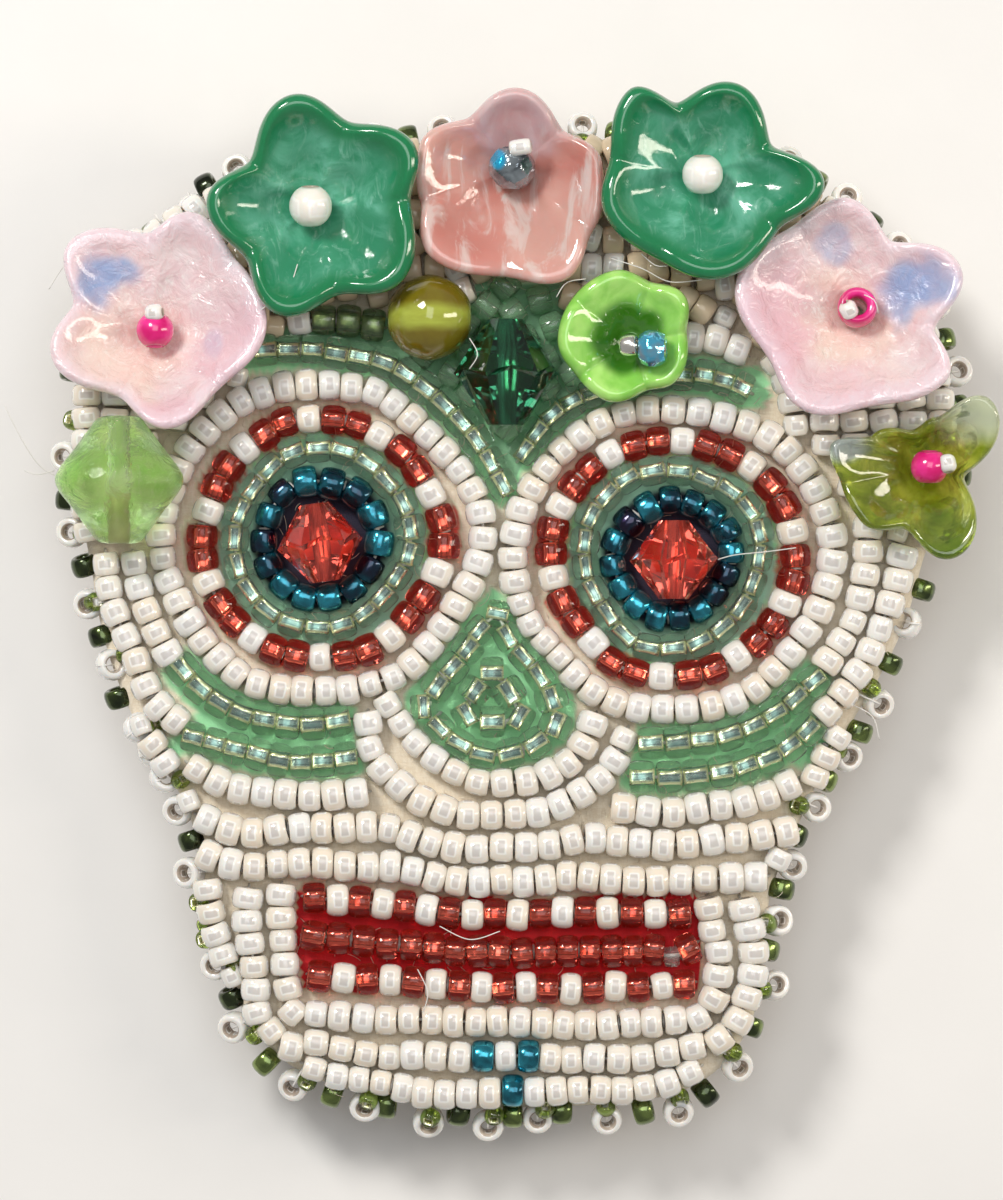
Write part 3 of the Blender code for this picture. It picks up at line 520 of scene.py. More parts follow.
# ---------------------------------------------------------------- the rows, bead by bead
ROWS = {
    "left_eye_teal_ring": ("T", True, [
        (304, 482), (333, 484), (356, 493), (372, 513), (379, 545), (368, 570), (352, 589), (330, 597),
        (304, 597), (284, 584), (269, 567), (264, 542), (270, 515), (283, 494)]),
    "left_eye_green_ring": ("G", True, [
        (293, 452), (318, 448), (344, 451), (367, 463), (387, 482), (403, 504), (410, 528), (409, 552),
        (397, 575), (381, 597), (363, 613), (344, 624), (319, 627), (292, 623), (268, 610), (250, 591),
        (239, 566), (235, 538), (241, 512), (254, 489), (272, 468)]),
    "left_eye_red_white_ring": ("RRW", True, [
        (263, 436), (285, 422), (310, 419), (334, 420), (357, 425), (379, 436), (400, 450), (417, 471),
        (431, 494), (441, 518), (444, 545), (437, 573), (423, 597), (407, 618), (390, 636), (368, 650),
        (344, 656), (320, 657), (297, 656), (274, 650), (253, 638), (235, 622), (220, 603), (209, 582),
        (203, 560), (202, 537), (208, 512), (217, 488), (230, 465), (245, 448)]),
    "left_eye_white_ring": ("W", True, [
        (306, 385), (329, 385), (352, 388), (374, 392), (394, 404), (412, 419), (429, 435), (445, 453),
        (460, 470), (472, 490), (481, 513), (483, 538), (478, 563), (469, 586), (456, 607), (443, 627),
        (429, 646), (413, 664), (393, 677), (370, 684), (348, 690), (326, 691), (303, 691), (280, 689),
        (257, 684), (237, 674), (219, 658), (203, 641), (190, 622), (179, 602), (169, 580), (163, 558),
        (161, 535), (163, 512), (169, 490), (178, 469), (190, 449), (205, 431), (222, 415), (241, 402),
        (262, 393), (284, 387)]),
    "right_eye_teal_ring": ("T", True, [
        (648, 508), (671, 500), (692, 504), (712, 515), (726, 531), (731, 553), (726, 574), (714, 592),
        (699, 609), (679, 616), (657, 616), (638, 605), (623, 587), (613, 565), (616, 543), (629, 523)]),
    "right_eye_green_ring": ("G", True, [
        (628, 478), (652, 471), (678, 471), (706, 479), (731, 491), (748, 509), (758, 530), (759, 557),
        (752, 583), (741, 606), (723, 626), (699, 642), (672, 648), (647, 647), (625, 635), (608, 613),
        (593, 591), (586, 566), (585, 541), (591, 517), (606, 496)]),
    "right_eye_red_white_ring": ("RRW", True, [
        (634, 446), (658, 441), (682, 441), (706, 446), (730, 455), (751, 466), (770, 484), (784, 507),
        (793, 532), (795, 557), (793, 581), (785, 603), (773, 623), (757, 641), (737, 656), (714, 669),
        (689, 675), (661, 676), (635, 672), (612, 662), (594, 643), (577, 622), (563, 601), (554, 578),
        (551, 553), (553, 529), (561, 507), (574, 487), (591, 469), (611, 454)]),
    "right_eye_white_ring": ("W", True, [
        (601, 423), (624, 414), (648, 410), (673, 410), (698, 412), (723, 418), (747, 426), (769, 437),
        (787, 451), (802, 469), (815, 489), (825, 512), (832, 536), (832, 560), (827, 586), (819, 609),
        (806, 631), (790, 653), (773, 672), (756, 688), (735, 699), (711, 706), (687, 709), (663, 709),
        (639, 708), (615, 702), (592, 690), (574, 674), (560, 657), (545, 641), (531, 624), (521, 603),
        (515, 581), (513, 558), (516, 534), (522, 510), (533, 488), (547, 468), (562, 451), (580, 436)]),
    "left_brow_row": ("G", False, [
        (266, 350), (289, 349), (312, 349), (336, 353), (360, 357), (384, 362), (406, 374), (425, 388),
        (444, 404), (461, 421), (476, 440), (490, 462), (502, 484)]),
    "right_brow_row": ("G", False, [
        (524, 451), (537, 432), (552, 415), (571, 402), (592, 393), (614, 386), (637, 380), (660, 376),
        (683, 375), (706, 376), (724, 380), (742, 388)]),
    "nose_outline_row": ("G", True, [
        (494, 613), (480, 630), (468, 648), (453, 667), (438, 686), (424, 706), (439, 727), (459, 743),
        (483, 754), (510, 753), (535, 743), (556, 723), (551, 698), (539, 676), (524, 657), (508, 637)]),
    "nose_inner_row": ("G", True, [
        (490, 673), (475, 691), (465, 710), (492, 722), (520, 714), (509, 692)]),
    "nose_surround_inner_row": ("W", False, [
        (388, 704), (401, 723), (416, 743), (435, 759), (455, 772), (478, 782), (503, 783), (527, 781),
        (548, 774), (568, 763), (583, 745), (592, 724)]),
    "nose_surround_outer_row": ("W", False, [
        (368, 723), (370, 748), (382, 769), (401, 786), (422, 801), (445, 810), (468, 815), (491, 815),
        (515, 814), (539, 812), (560, 805), (581, 793), (601, 779), (615, 760), (624, 739)]),
    "left_cheek_rows": ("G", False, [
        (183, 669), (201, 688), (221, 702), (241, 713), (264, 719), (288, 723), (313, 724), (338, 721),
        None, (346, 758), (323, 761), (301, 762), (280, 760), (257, 754), (236, 749), (214, 743),
        (193, 737)]),
    "right_cheek_rows": ("G", False, [
        (814, 681), (794, 698), (775, 713), (754, 725), (729, 734), (703, 739), (677, 742), (651, 743),
        None, (642, 777), (669, 777), (696, 775), (723, 771), (747, 765), (769, 757), (790, 745),
        (808, 729)]),
    "left_temple_rows": ("W", False, [
        (168, 653), (157, 634), (147, 611), (139, 587), (134, 563), None, (106, 564), (109, 588),
        (115, 612), (126, 637), (137, 662), (147, 688), (160, 707), (176, 720)]),
    "right_temple_rows": ("W", False, [
        (828, 661), (841, 642), (853, 622), (860, 598), (865, 574), (868, 550), (868, 528), None,
        (902, 556), (898, 580), (890, 604), (880, 628), (870, 652), (857, 674), (843, 694),
        (827, 711)]),
    "face_row_1_left": ("W", False, [
        (197, 769), (218, 781), (240, 789), (263, 792), (286, 794), (310, 796), (334, 795), (357, 793)]),
    "face_row_1_right": ("W", False, [
        (623, 808), (648, 811), (673, 812), (697, 808), (721, 805), (744, 802), (767, 796), (788, 785)]),
    "face_row_2": ("W", False, [
        (207, 820), (229, 829), (253, 833), (277, 830), (300, 828), (323, 828), (345, 828), (367, 827),
        (389, 828), (409, 836), (430, 842), (453, 847), (477, 849), (502, 847), (527, 847), (550, 845),
        (572, 840), (595, 838), (617, 841), (640, 843), (663, 845), (687, 844), (711, 840), (736, 838),
        (762, 835), (786, 832)]),
    "face_row_3": ("W", False, [
        (209, 856), (231, 864), (255, 867), (278, 864), (300, 863), (323, 863), (345, 866), (368, 867),
        (390, 866), (412, 871), (434, 877), (457, 881), (479, 882), (502, 880), (524, 882), (545, 880),
        (567, 876), (589, 877), (610, 879), (633, 881), (656, 881), (681, 880), (706, 879), (731, 878),
        (756, 877)]),
    "mouth_top_row": ("RW", False, [
        (314, 898), (338, 900), (361, 902), (383, 904), (405, 906), (427, 910), (450, 913), (472, 915),
        (495, 914), (518, 915), (541, 914), (563, 912), (585, 912), (608, 913), (631, 913), (655, 914),
        (679, 914)]),
    "mouth_middle_row": ("RRRRRRRRRRRRRRRRCR", False, [
        (314, 936), (339, 938), (364, 941), (388, 944), (411, 945), (434, 948), (456, 951), (478, 951),
        (500, 952), (522, 953), (545, 952), (568, 951), (590, 951), (612, 951), (634, 951), (656, 950),
        (672, 957), (688, 949)]),
    "mouth_bottom_row": ("RW", False, [
        (319, 976), (344, 978), (368, 979), (391, 980), (414, 982), (436, 984), (459, 986), (482, 987),
        (504, 988), (526, 987), (548, 988), (570, 989), (592, 988), (615, 986), (639, 987), (662, 986),
        (684, 984)]),
    "mouth_frame_row": ("W", False, [
        (281, 895), (281, 917), (283, 940), (285, 964), (288, 988), (293, 1012), (316, 1014),
        (340, 1016), (364, 1018), (387, 1020), (410, 1019), (432, 1020), (454, 1021), (476, 1022),
        (498, 1021), (520, 1022), (542, 1023), (564, 1025), (586, 1025), (608, 1025), (630, 1023),
        (652, 1022), (674, 1020), (698, 1018), (714, 998), (718, 974), (719, 951), (712, 930),
        (709, 908)]),
    "jaw_frame_row": ("WWWWWWWWWWWWWWWTWTWWWWWWWWWWWWW", False, [
        (248, 898), (247, 921), (250, 943), (254, 966), (256, 990), (257, 1012), (271, 1031),
        (290, 1047), (316, 1043), (342, 1049), (366, 1054), (389, 1057), (413, 1055), (437, 1056),
        (460, 1057), (483, 1056), (506, 1056), (529, 1056), (550, 1058), (571, 1060), (594, 1058),
        (618, 1059), (643, 1058), (667, 1053), (691, 1047), (720, 1039), (739, 1019), (747, 997),
        (753, 975), (754, 952), (750, 930), (744, 909)]),
    "chin_row": ("WWWWWWWWWTWWWWWWWW", False, [
        (314, 1069), (337, 1077), (360, 1080), (381, 1083), (402, 1088), (423, 1093), (445, 1095),
        (467, 1094), (490, 1093), (513, 1091), (535, 1092), (557, 1091), (579, 1090), (600, 1090),
        (622, 1091), (644, 1088), (666, 1084), (690, 1073)]),
    "forehead_row_left": ("WOOO", False, [(300, 322), (324, 320), (348, 321), (373, 325)]),
    "forehead_row_right": ("WWW", False, [(692, 338), (716, 340), (738, 350)]),
}


def place_row(points, closed):
    """Evens out the spacing a little along the row; returns centres, directions and half lengths."""
    p = np.array([at(*q) for q in points])
    n = len(p)
    for _ in range(2):
        q = p.copy()
        for i in range(n):
            if not closed and i in (0, n - 1):
                continue
            a, b = p[(i - 1) % n], p[(i + 1) % n]
            along = (b - a) / max(np.linalg.norm(b - a), 1e-9)
            q[i] = p[i] + along * np.dot((a + b) / 2 - p[i], along) * 0.6
        p = q
    along, half = [], []
    for i in range(n):
        a = p[(i - 1) % n] if closed or i else p[0] - (p[1] - p[0])
        b = p[(i + 1) % n] if closed or i < n - 1 else p[-1] + (p[-1] - p[-2])
        along.append((b - a) / np.linalg.norm(b - a))
        half.append(0.5 * min(np.linalg.norm(b - p[i]), np.linalg.norm(a - p[i])))
    return p, np.array(along), np.array(half)


placed = {}
for name, (pattern, closed, points) in ROWS.items():
    runs, run = [], []
    for q in points + [None]:
        if q is None:
            runs.append(run)
            run = []
        else:
            run.append(q)
    centres, alongs, halves = [], [], []
    for run in runs:
        c, a, h = place_row(run, closed)
        centres.append(c), alongs.append(a), halves.append(h)
    placed[name] = (np.concatenate(centres), np.concatenate(alongs), np.concatenate(halves),
                    [len(c) for c in centres])

everyone = np.concatenate([v[0] for v in placed.values()])
alldir = np.concatenate([v[1] for v in placed.values()])
owner = np.concatenate([[k] * len(v[0]) for k, v in enumerate(placed.values())])
index = np.concatenate([np.arange(len(v[0])) for v in placed.values()])


def room(i):
    """Half the distance to the nearest bead beside this one, across its row."""
    d = everyone - everyone[i]
    dist = np.linalg.norm(d, axis=1)
    across = np.abs(d[:, 0] * -alldir[i][1] + d[:, 1] * alldir[i][0])
    beside = (dist > 0.1) & (across > 0.8 * dist) & (dist < 3.2)
    return 0.5 * dist[beside].min() if beside.any() else 1.2


BEAD_R = {}
k = 0
for name, (c, a, h, sizes) in placed.items():
    radii = []
    for i in range(len(c)):
        radii.append(float(np.clip(room(k) * 0.99, 0.93, 1.11)))
        k += 1
    BEAD_R[name] = radii

SHAPES = {}


def unit_bead(kind, variant):
    key = (kind, variant)
    if key not in SHAPES:
        opts = BEADS[kind][2]
        small = {"W": 0.42, "E": 0.46, "T": 0.40, "D": 0.40, "g": 0.36, "M": 0.30, "P": 0.40}.get(kind, 0.40)
        SHAPES[key] = bead_shape(0.72, 1.08, small, lumps=0.022, seed=variant * 7 + ord(kind), **opts)
    return SHAPES[key]


def put_bead(build, mats, kind, centre, along, half, radius, tilt=0.06, up=(0, 0, 1)):
    verts, quads, lining, place = unit_bead(kind, rng.randrange(6))
    scale = np.array([half / 0.72, radius / 1.08, radius / 1.08 * rng.uniform(0.97, 1.03)])
    lean = Vector((along[0], along[1], along[2] if len(along) > 2 else 0.0))
    lean = (lean + Vector((rng.uniform(-tilt, tilt), rng.uniform(-tilt, tilt),
                           rng.uniform(-tilt, tilt)))).normalized()
    turn = frame_of(lean, up, rng.uniform(-0.12, 0.12))
    pts = (verts * scale) @ turn.T + np.asarray(centre)
    outer, inner = BEADS[kind][0], BEADS[kind][1]
    for m in (outer, inner):
        if m not in mats:
            mats.append(m)
    face = np.where(lining, mats.index(inner), mats.index(outer))
    build.add(pts, quads, face, bead=place, rnd=rng.random())




RIM_TREE = KDTree(len(RIM))
for _i, _p in enumerate(RIM):
    RIM_TREE.insert((_p[0], _p[1], 0), _i)
RIM_TREE.balance()


def dome(p):
    """How far the face falls away near its rim."""
    near = RIM_TREE.find((p[0], p[1], 0))[2]
    return 0.45 * (1 - min(1.0, near / 3.4)) ** 1.5


SLOT_OF = {}
for entry in frame["record"]["subparts"]:
    SLOT_OF[entry["node"]] = entry["material_slot"]

threads = Build()
for name, (pattern, closed, points) in ROWS.items():
    c, a, h, sizes = placed[name]
    build, mats = Build(), []
    letters = pattern if len(pattern) >= len(c) else pattern * (len(c) // len(pattern) + 1)
    for i in range(len(c)):
        kind = letters[i]
        radius = BEAD_R[name][i] * (rng.uniform(0.93, 1.01) if kind in "WR" else rng.uniform(0.985, 1.0))
        half = min(0.88, h[i] * 0.99)
        if kind == "C":
            half, radius = 0.38, 0.70
        elif letters[(i + 1) % len(c)] == "C" or letters[i - 1] == "C":
            half = min(half * 1.25, 0.72)
        z = FELT_TOP - 0.04 + radius + rng.uniform(-0.03, 0.06) - dome(c[i])
        put_bead(build, mats, kind, (c[i][0], c[i][1], z), (a[i][0], a[i][1], 0), max(half * rng.uniform(0.94, 1.0), 0.52), radius,
                 tilt=0.10 if kind in "WR" else 0.06)
    build.piece("beads_" + name, mats, nodes=[name], slot=SLOT_OF[name])
    # the row's own thread, and the couching stitches that hold it down
    start = 0
    for size in sizes:
        line = c[start:start + size]
        z = np.array([[FELT_TOP + 1.02 - dome(q)] for q in line])
        path = smooth_line(np.concatenate([line, z], 1), 0.8, closed)
        if not closed:
            ends = [path[0] + (path[0] - path[1]) / np.linalg.norm(path[0] - path[1]) * 1.0,
                    path[-1] + (path[-1] - path[-2]) / np.linalg.norm(path[-1] - path[-2]) * 1.0]
            ends[0][2] = ends[1][2] = FELT_TOP - 0.2
            path = np.concatenate([[ends[0]], path, [ends[1]]])
        threads.add(*tube_shape(path, 0.11, 6, closed=closed), 0)
        for i in range(start + 1, start + size - (0 if closed else 1), 2):
            j = (i + 1 - start) % size + start
            mid = (c[i] + c[j]) / 2
            across = np.array([-a[i][1], a[i][0]])
            arc = []
            for t in np.linspace(0, math.pi, 9):
                side = math.cos(t)
                arc.append([*(mid + across * side * 0.52), FELT_TOP - 0.25 + 1.42 * math.sin(t)])
            threads.add(*tube_shape(arc, 0.07, 5 + 1), 0)
        start += size

threads.piece("couching_thread", [M_THREAD])

# ---------------------------------------------------------------- coloured grounds and filling beads
# thread of the beads' own colour covers the felt round the green, red and dark beads; round the red beads the red tint
# is partly such thread and partly painted red glow, light passed through the red glass
MOUTH_GROUND = np.array([at(*p) for p in [(296, 890), (500, 898), (698, 892), (702, 940), (698, 994), (500, 1000), (300, 992), (294, 940)]])
NOSE_GROUND = np.array([at(*p) for p in [(494, 603), (512, 625), (548, 668), (566, 715), (560, 735), (520, 757), (480, 762), (430, 738), (412, 708), (440, 668), (470, 630)]])
BROW_GROUND = np.array([at(*p) for p in [
    (250, 338), (330, 318), (400, 318), (445, 350), (462, 300), (480, 280), (560, 280), (575, 330),
    (600, 370), (740, 360), (760, 392), (700, 388), (640, 388), (580, 410), (530, 452), (503, 496),
    (484, 462), (455, 425), (410, 388), (350, 366), (280, 360)]])
HOUSES = [("left", at(321, 543)), ("right", at(673, 560))]
KINDS = []
for name, (pattern, closed, points) in ROWS.items():
    count = len(placed[name][0])
    letters = pattern if len(pattern) >= count else pattern * (count // len(pattern) + 1)
    KINDS += list(letters[:count])
KINDS = np.array(KINDS)


def inside_loop(points, loop):
    """Which points lie inside a closed loop."""
    x, y = points[:, 0], points[:, 1]
    hit = np.zeros(len(points), bool)
    j = len(loop) - 1
    for i in range(len(loop)):
        xi, yi, xj, yj = loop[i][0], loop[i][1], loop[j][0], loop[j][1]
        if yi != yj:
            cross = ((yi > y) != (yj > y)) & (x < (xj - xi) * (y - yi) / (yj - yi) + xi)
            hit ^= cross
        j = i
    return hit


def ground_tint(flat):
    """Each felt point's colour and how strongly it is covered, as (n, 3) and (n,)."""
    colour = np.zeros((len(flat), 3))
    cover = np.zeros(len(flat))
    green, red, navy = np.array([0.34, 0.74, 0.40]), np.array([0.52, 0.005, 0.011]), np.array([0.012, 0.010, 0.030])
    eye_green = np.array([0.32, 0.56, 0.42])
    for k in range(0, len(flat), 4000):
        part = flat[k:k + 4000]
        d = np.linalg.norm(part[:, None] - everyone[None], axis=2)
        best = {}
        for letter in "GRTWO":
            best[letter] = d[:, KINDS == letter].min(1)
        # seafoam
        w = smoothstep(best["W"] - best["G"], -0.5, 0.1) * (best["G"] < 1.9)
        colour[k:k + 4000] += 0
        c, v = colour[k:k + 4000], cover[k:k + 4000]
        c[:], v[:] = green, w
        # near the red beads the felt is tinted red: partly thread, partly painted red glow from light through the red
        # glass
        r = smoothstep(best["W"] - best["R"], -0.1, 0.5) * smoothstep(best["G"] - best["R"], -0.1, 0.3) * (best["R"] < 1.5)
        c[:] = c * (1 - r[:, None]) + np.array([0.50, 0.03, 0.02]) * r[:, None]
        v[:] = np.maximum(v, r * 0.9)
        for side, centre in HOUSES:
            e = np.linalg.norm(part - centre, axis=1)
            ring = (e < 6.9).astype(float)
            c[:] = np.where(ring[:, None] > 0, eye_green, c)
            v[:] = np.maximum(v, smoothstep(e, 7.2, 6.7))
            dark = smoothstep(best["G"] - best["T"], -0.2, 0.5) * smoothstep(e, 5.0, 4.4)
            c[:] = c * (1 - dark[:, None]) + navy * dark[:, None]
            v[:] = np.maximum(v, dark)
            heart = smoothstep(e, 1.9, 1.5)
            c[:] = c * (1 - heart[:, None]) + np.array([0.85, 0.30, 0.22]) * heart[:, None]
        for loop, tone in ((MOUTH_GROUND, red), (NOSE_GROUND, green), (BROW_GROUND, np.array([0.24, 0.48, 0.28]))):
            hit = inside_loop(part, loop)
            c[hit], v[hit] = tone, 1.0
    return colour, cover


FLOWER_HUBS = [(313, 211, 2.0), (512, 171, 3.0), (700, 180, 2.0), (158, 342, 2.2), (854, 317, 2.2),
               (926, 468, 2.6), (630, 343, 3.0), (430, 319, 2.9), (506, 374, 3.2), (123, 481, 2.0),
               (123, 455, 1.6), (123, 507, 1.6), (321, 543, 3.6), (673, 560, 3.6)]


def smoothstep(v, low, high):
    t = np.clip((v - low) / (high - low), 0, 1)
    return t * t * (3 - 2 * t)


fill_at, fill_dir = [], []


def try_fill(q, along, gap=1.60):
    if np.linalg.norm(everyone - q, axis=1).min() < gap:
        return
    if fill_at and np.linalg.norm(np.array(fill_at) - q, axis=1).min() < min(gap, 1.42):
        return
    for x, y, r in FLOWER_HUBS:
        if np.linalg.norm(at(x, y) - q) < r:
            return
    for loop in (MOUTH_GROUND, NOSE_GROUND, BROW_GROUND):
        if inside_loop(q[None], loop)[0]:
            return
    fill_at.append(q)
    fill_dir.append(along)


for ring_no in range(8):
    line = smooth_line(offset_loop(RIM, -(0.35 + 1.95 * ring_no)), 1.50, True)
    ok = inside_loop(line, RIM)
    along = np.roll(line, -1, 0) - np.roll(line, 1, 0)
    along /= np.linalg.norm(along, axis=1)[:, None]
    for q, a, good in zip(line, along, ok):
        if good and np.linalg.norm(RIM - q, axis=1).min() > 0.25:
            try_fill(q, a)
_lo, _hi = RIM.min(0), RIM.max(0)
_gx, _gy = np.meshgrid(np.arange(_lo[0] + 1, _hi[0] - 1, 0.45), np.arange(_lo[1] + 1, _hi[1] - 1, 0.45))
_grid = np.stack([_gx.ravel(), _gy.ravel()], 1)
_grid = _grid[inside_loop(_grid, RIM)]
for q in _grid:
    edge = RIM_TREE.find((q[0], q[1], 0))[2]
    if edge < 0.9 or (edge > 3.0 and q[1] < at(0, 345)[1]):
        continue
    k = np.linalg.norm(everyone - q, axis=1).argmin()
    try_fill(q, alldir[k], 1.56)
_b, _mats = Build(), []
TOP_Y = at(0, 345)[1]
for q, a in zip(fill_at, fill_dir):
    near = min(np.linalg.norm(everyone - q, axis=1).min(), 2.2)
    r = float(np.clip(near - 0.98, 0.74, 1.02))
    kind, turn = "W", 0.0
    # under the flowers most filling beads are peach glass: partly the peach beads there, partly painted warm shade
    # from the flowers
    if q[1] > TOP_Y and abs(q[0]) < 20:
        kind = rng.choice("WPPP")
        turn = rng.uniform(-0.5, 0.5)
        q = q + np.array([rng.uniform(-0.18, 0.18), rng.uniform(-0.18, 0.18)])
    a = (a[0] * math.cos(turn) - a[1] * math.sin(turn), a[0] * math.sin(turn) + a[1] * math.cos(turn))
    z = FELT_TOP - 0.06 + r - dome(q) + rng.uniform(-0.08, 0.05)
    put_bead(_b, _mats, kind, (q[0], q[1], z), (a[0], a[1], 0), 0.70, r, 0.14)
# clear green seed beads without a lining between the brow rows and the flowers
greens = []
for q in _grid:
    if not (TOP_Y - 6 < q[1] < TOP_Y + 6) or abs(q[0]) > 17:
        continue
    if np.linalg.norm(everyone - q, axis=1).min() < 1.75 or np.linalg.norm(at(506, 374) - q) < 2.6:
        continue
    if np.linalg.norm(at(430, 319) - q) < 2.2 or np.linalg.norm(at(630, 343) - q) < 2.2:
        continue
    if greens and np.linalg.norm(np.array(greens) - q, axis=1).min() < 1.72:
        continue
    if inside_loop(q[None], BROW_GROUND)[0]:
        greens.append(q)
        k = np.linalg.norm(everyone - q, axis=1).argmin()
        put_bead(_b, _mats, "M", (q[0], q[1], FELT_TOP + 0.88), (alldir[k][0], alldir[k][1], 0), 0.80, 1.0, 0.15)
_b.piece("beads_filling", _mats)


# ---------------------------------------------------------------- pressed-glass flowers
def patch(tree, x, y, rx, ry, soft=0.5, warp=0.6, scale=0.35):
    """1 inside an ellipse about a pattern point, with wandering edges."""
    c = at(x, y)
    tc = node(tree, "ShaderNodeTexCoord")
    n = noise_tex(tree, scale, 2)
    sub = node(tree, "ShaderNodeVectorMath", operation="SUBTRACT")
    link(tree, n.outputs["Color"], sub.inputs[0])
    sub.inputs[1].default_value = (0.5, 0.5, 0.5)
    sc = node(tree, "ShaderNodeVectorMath", operation="SCALE")
    link(tree, sub.outputs[0], sc.inputs[0])
    sc.inputs["Scale"].default_value = warp * (rx + ry) / 15 * MM
    add = node(tree, "ShaderNodeVectorMath", operation="ADD")
    link(tree, tc.outputs["Object"], add.inputs[0])
    link(tree, sc.outputs[0], add.inputs[1])
    mp = node(tree, "ShaderNodeMapping", vector_type="TEXTURE")
    link(tree, add.outputs[0], mp.inputs["Vector"])
    mp.inputs["Location"].default_value = (c[0] * MM, c[1] * MM, 0)
    mp.inputs["Scale"].default_value = (rx / 15 * MM, ry / 15 * MM, 1.0)
    length = node(tree, "ShaderNodeVectorMath", operation="LENGTH")
    link(tree, mp.outputs[0], length.inputs[0])
    return step(tree, length.outputs["Value"], 1.0 + soft / 2, 1.0 - soft / 2)


def flower_base(name, rough=0.07):
    mat, t, s = material(name, (0.5, 0.5, 0.5), rough)
    s.inputs["Coat Weight"].default_value = 0.8
    s.inputs["Coat Roughness"].default_value = 0.03
    place = node(t, "ShaderNodeSeparateXYZ")
    link(t, attr(t, "bead").outputs["Vector"], place.inputs[0])
    return mat, t, s, place.outputs[0], place.outputs[1]


def jade_material():
    mat, t, s, reach, hollow = flower_base("jade_pressed_glass")
    s.inputs["Subsurface Weight"].default_value = 0.25
    s.inputs["Subsurface Radius"].default_value = (0.4, 1.0, 0.6)
    s.inputs["Subsurface Scale"].default_value = 0.0006
    swirl = noise_tex(t, 0.22, 4, 0.6, 1.6).outputs["Fac"]
    fine = noise_tex(t, 0.9, 5, 0.65, 1.5, stretch=(1, 0.30, 1)).outputs["Fac"]
    base = mix(t, step(t, swirl, 0.40, 0.66), (0.045, 0.29, 0.16), (0.15, 0.48, 0.34))
    base = mix(t, maths(t, "MULTIPLY", step(t, fine, 0.50, 0.72), 0.55), base, (0.32, 0.64, 0.52))
    # darker green painted in the petals' hollows: painted shade
    base = mix(t, maths(t, "MULTIPLY", hollow, 0.55), base, (0.004, 0.20, 0.085))
    rim = step(t, maths(t, "ADD", reach, maths(t, "MULTIPLY", swirl, 0.22)), 0.76, 0.96)
    base = mix(t, maths(t, "MULTIPLY", rim, 0.95), base, (0.002, 0.19, 0.062))
    link(t, base, s.inputs["Base Color"])
    link(t, maths(t, "ADD", maths(t, "MULTIPLY", fine, 0.14), 0.06), s.inputs["Roughness"])
    bump(t, s, noise_tex(t, 0.45, 3).outputs["Fac"], 0.35, 0.35)
    return mat


def coral_material():
    mat, t, s, reach, hollow = flower_base("coral_pressed_glass")
    s.inputs["Subsurface Weight"].default_value = 0.6
    s.inputs["Subsurface Radius"].default_value = (1.0, 0.45, 0.4)
    s.inputs["Subsurface Scale"].default_value = 0.0011
    s.inputs["Transmission Weight"].default_value = 0.25
    streak = noise_tex(t, 0.55, 4, 0.6, 0.8, stretch=(1.3, 0.22, 1)).outputs["Fac"]
    cloud = noise_tex(t, 0.18, 3).outputs["Fac"]
    base = mix(t, step(t, cloud, 0.35, 0.7), (0.74, 0.30, 0.25), (0.86, 0.50, 0.43))
    base = mix(t, maths(t, "MULTIPLY", step(t, streak, 0.48, 0.66), 0.75), base, (0.92, 0.80, 0.76))
    base = mix(t, maths(t, "MULTIPLY", patch(t, 512, 118, 62, 34, 0.9), 0.75), base, (0.68, 0.56, 0.62))
    # darker red painted in the petals' hollows: painted shade
    base = mix(t, maths(t, "MULTIPLY", hollow, 0.2), base, (0.62, 0.22, 0.18))
    base = mix(t, maths(t, "MULTIPLY", step(t, reach, 0.82, 0.98), 0.35), base, (0.90, 0.62, 0.58))
    link(t, base, s.inputs["Base Color"])
    link(t, maths(t, "ADD", maths(t, "MULTIPLY", streak, 0.10), 0.04), s.inputs["Roughness"])
    bump(t, s, noise_tex(t, 0.45, 3).outputs["Fac"], 0.4, 0.35)
    return mat


def opal_material(name, pinks, blue_sheen, peach):
    mat, t, s, reach, hollow = flower_base(name)
    s.inputs["Subsurface Weight"].default_value = 0.5
    s.inputs["Subsurface Radius"].default_value = (1.0, 0.7, 0.7)
    s.inputs["Subsurface Scale"].default_value = 0.001
    mottle = noise_tex(t, 0.5, 5, 0.65, 1.2).outputs["Fac"]
    fine = noise_tex(t, 1.1, 6, 0.75, 2.2).outputs["Fac"]
    base = mix(t, step(t, mottle, 0.35, 0.7), (0.80, 0.60, 0.62), (0.84, 0.71, 0.72))
    for args, amount in peach:
        base = mix(t, maths(t, "MULTIPLY", patch(t, *args), amount), base, (0.86, 0.66, 0.54))
    for args, amount in pinks:
        base = mix(t, maths(t, "MULTIPLY", patch(t, *args), amount), base, (0.78, 0.47, 0.54))
    middle = step(t, reach, 0.80, 0.45)
    base = mix(t, maths(t, "MULTIPLY", maths(t, "MULTIPLY", step(t, fine, 0.52, 0.62), middle), 0.55), base,
               (0.93, 0.86, 0.83))
    rim = step(t, maths(t, "ADD", reach, maths(t, "MULTIPLY", mottle, 0.25)), 0.86, 1.08)
    base = mix(t, maths(t, "MULTIPLY", rim, 0.5), base, (0.78, 0.66, 0.74))
    # the blue patches are painted sheen, blue light off the opal glass
    for args, amount in blue_sheen:
        base = mix(t, maths(t, "MULTIPLY", maths(t, "MULTIPLY", patch(t, *args), amount),
                            maths(t, "ADD", mottle, 0.35)), base, (0.32, 0.42, 0.66))
    link(t, base, s.inputs["Base Color"])
    link(t, maths(t, "ADD", maths(t, "MULTIPLY", mottle, 0.12), 0.03), s.inputs["Roughness"])
    bump(t, s, noise_tex(t, 0.8, 4, 0.6, 0.6).outputs["Fac"], 0.75, 0.4)
    return mat


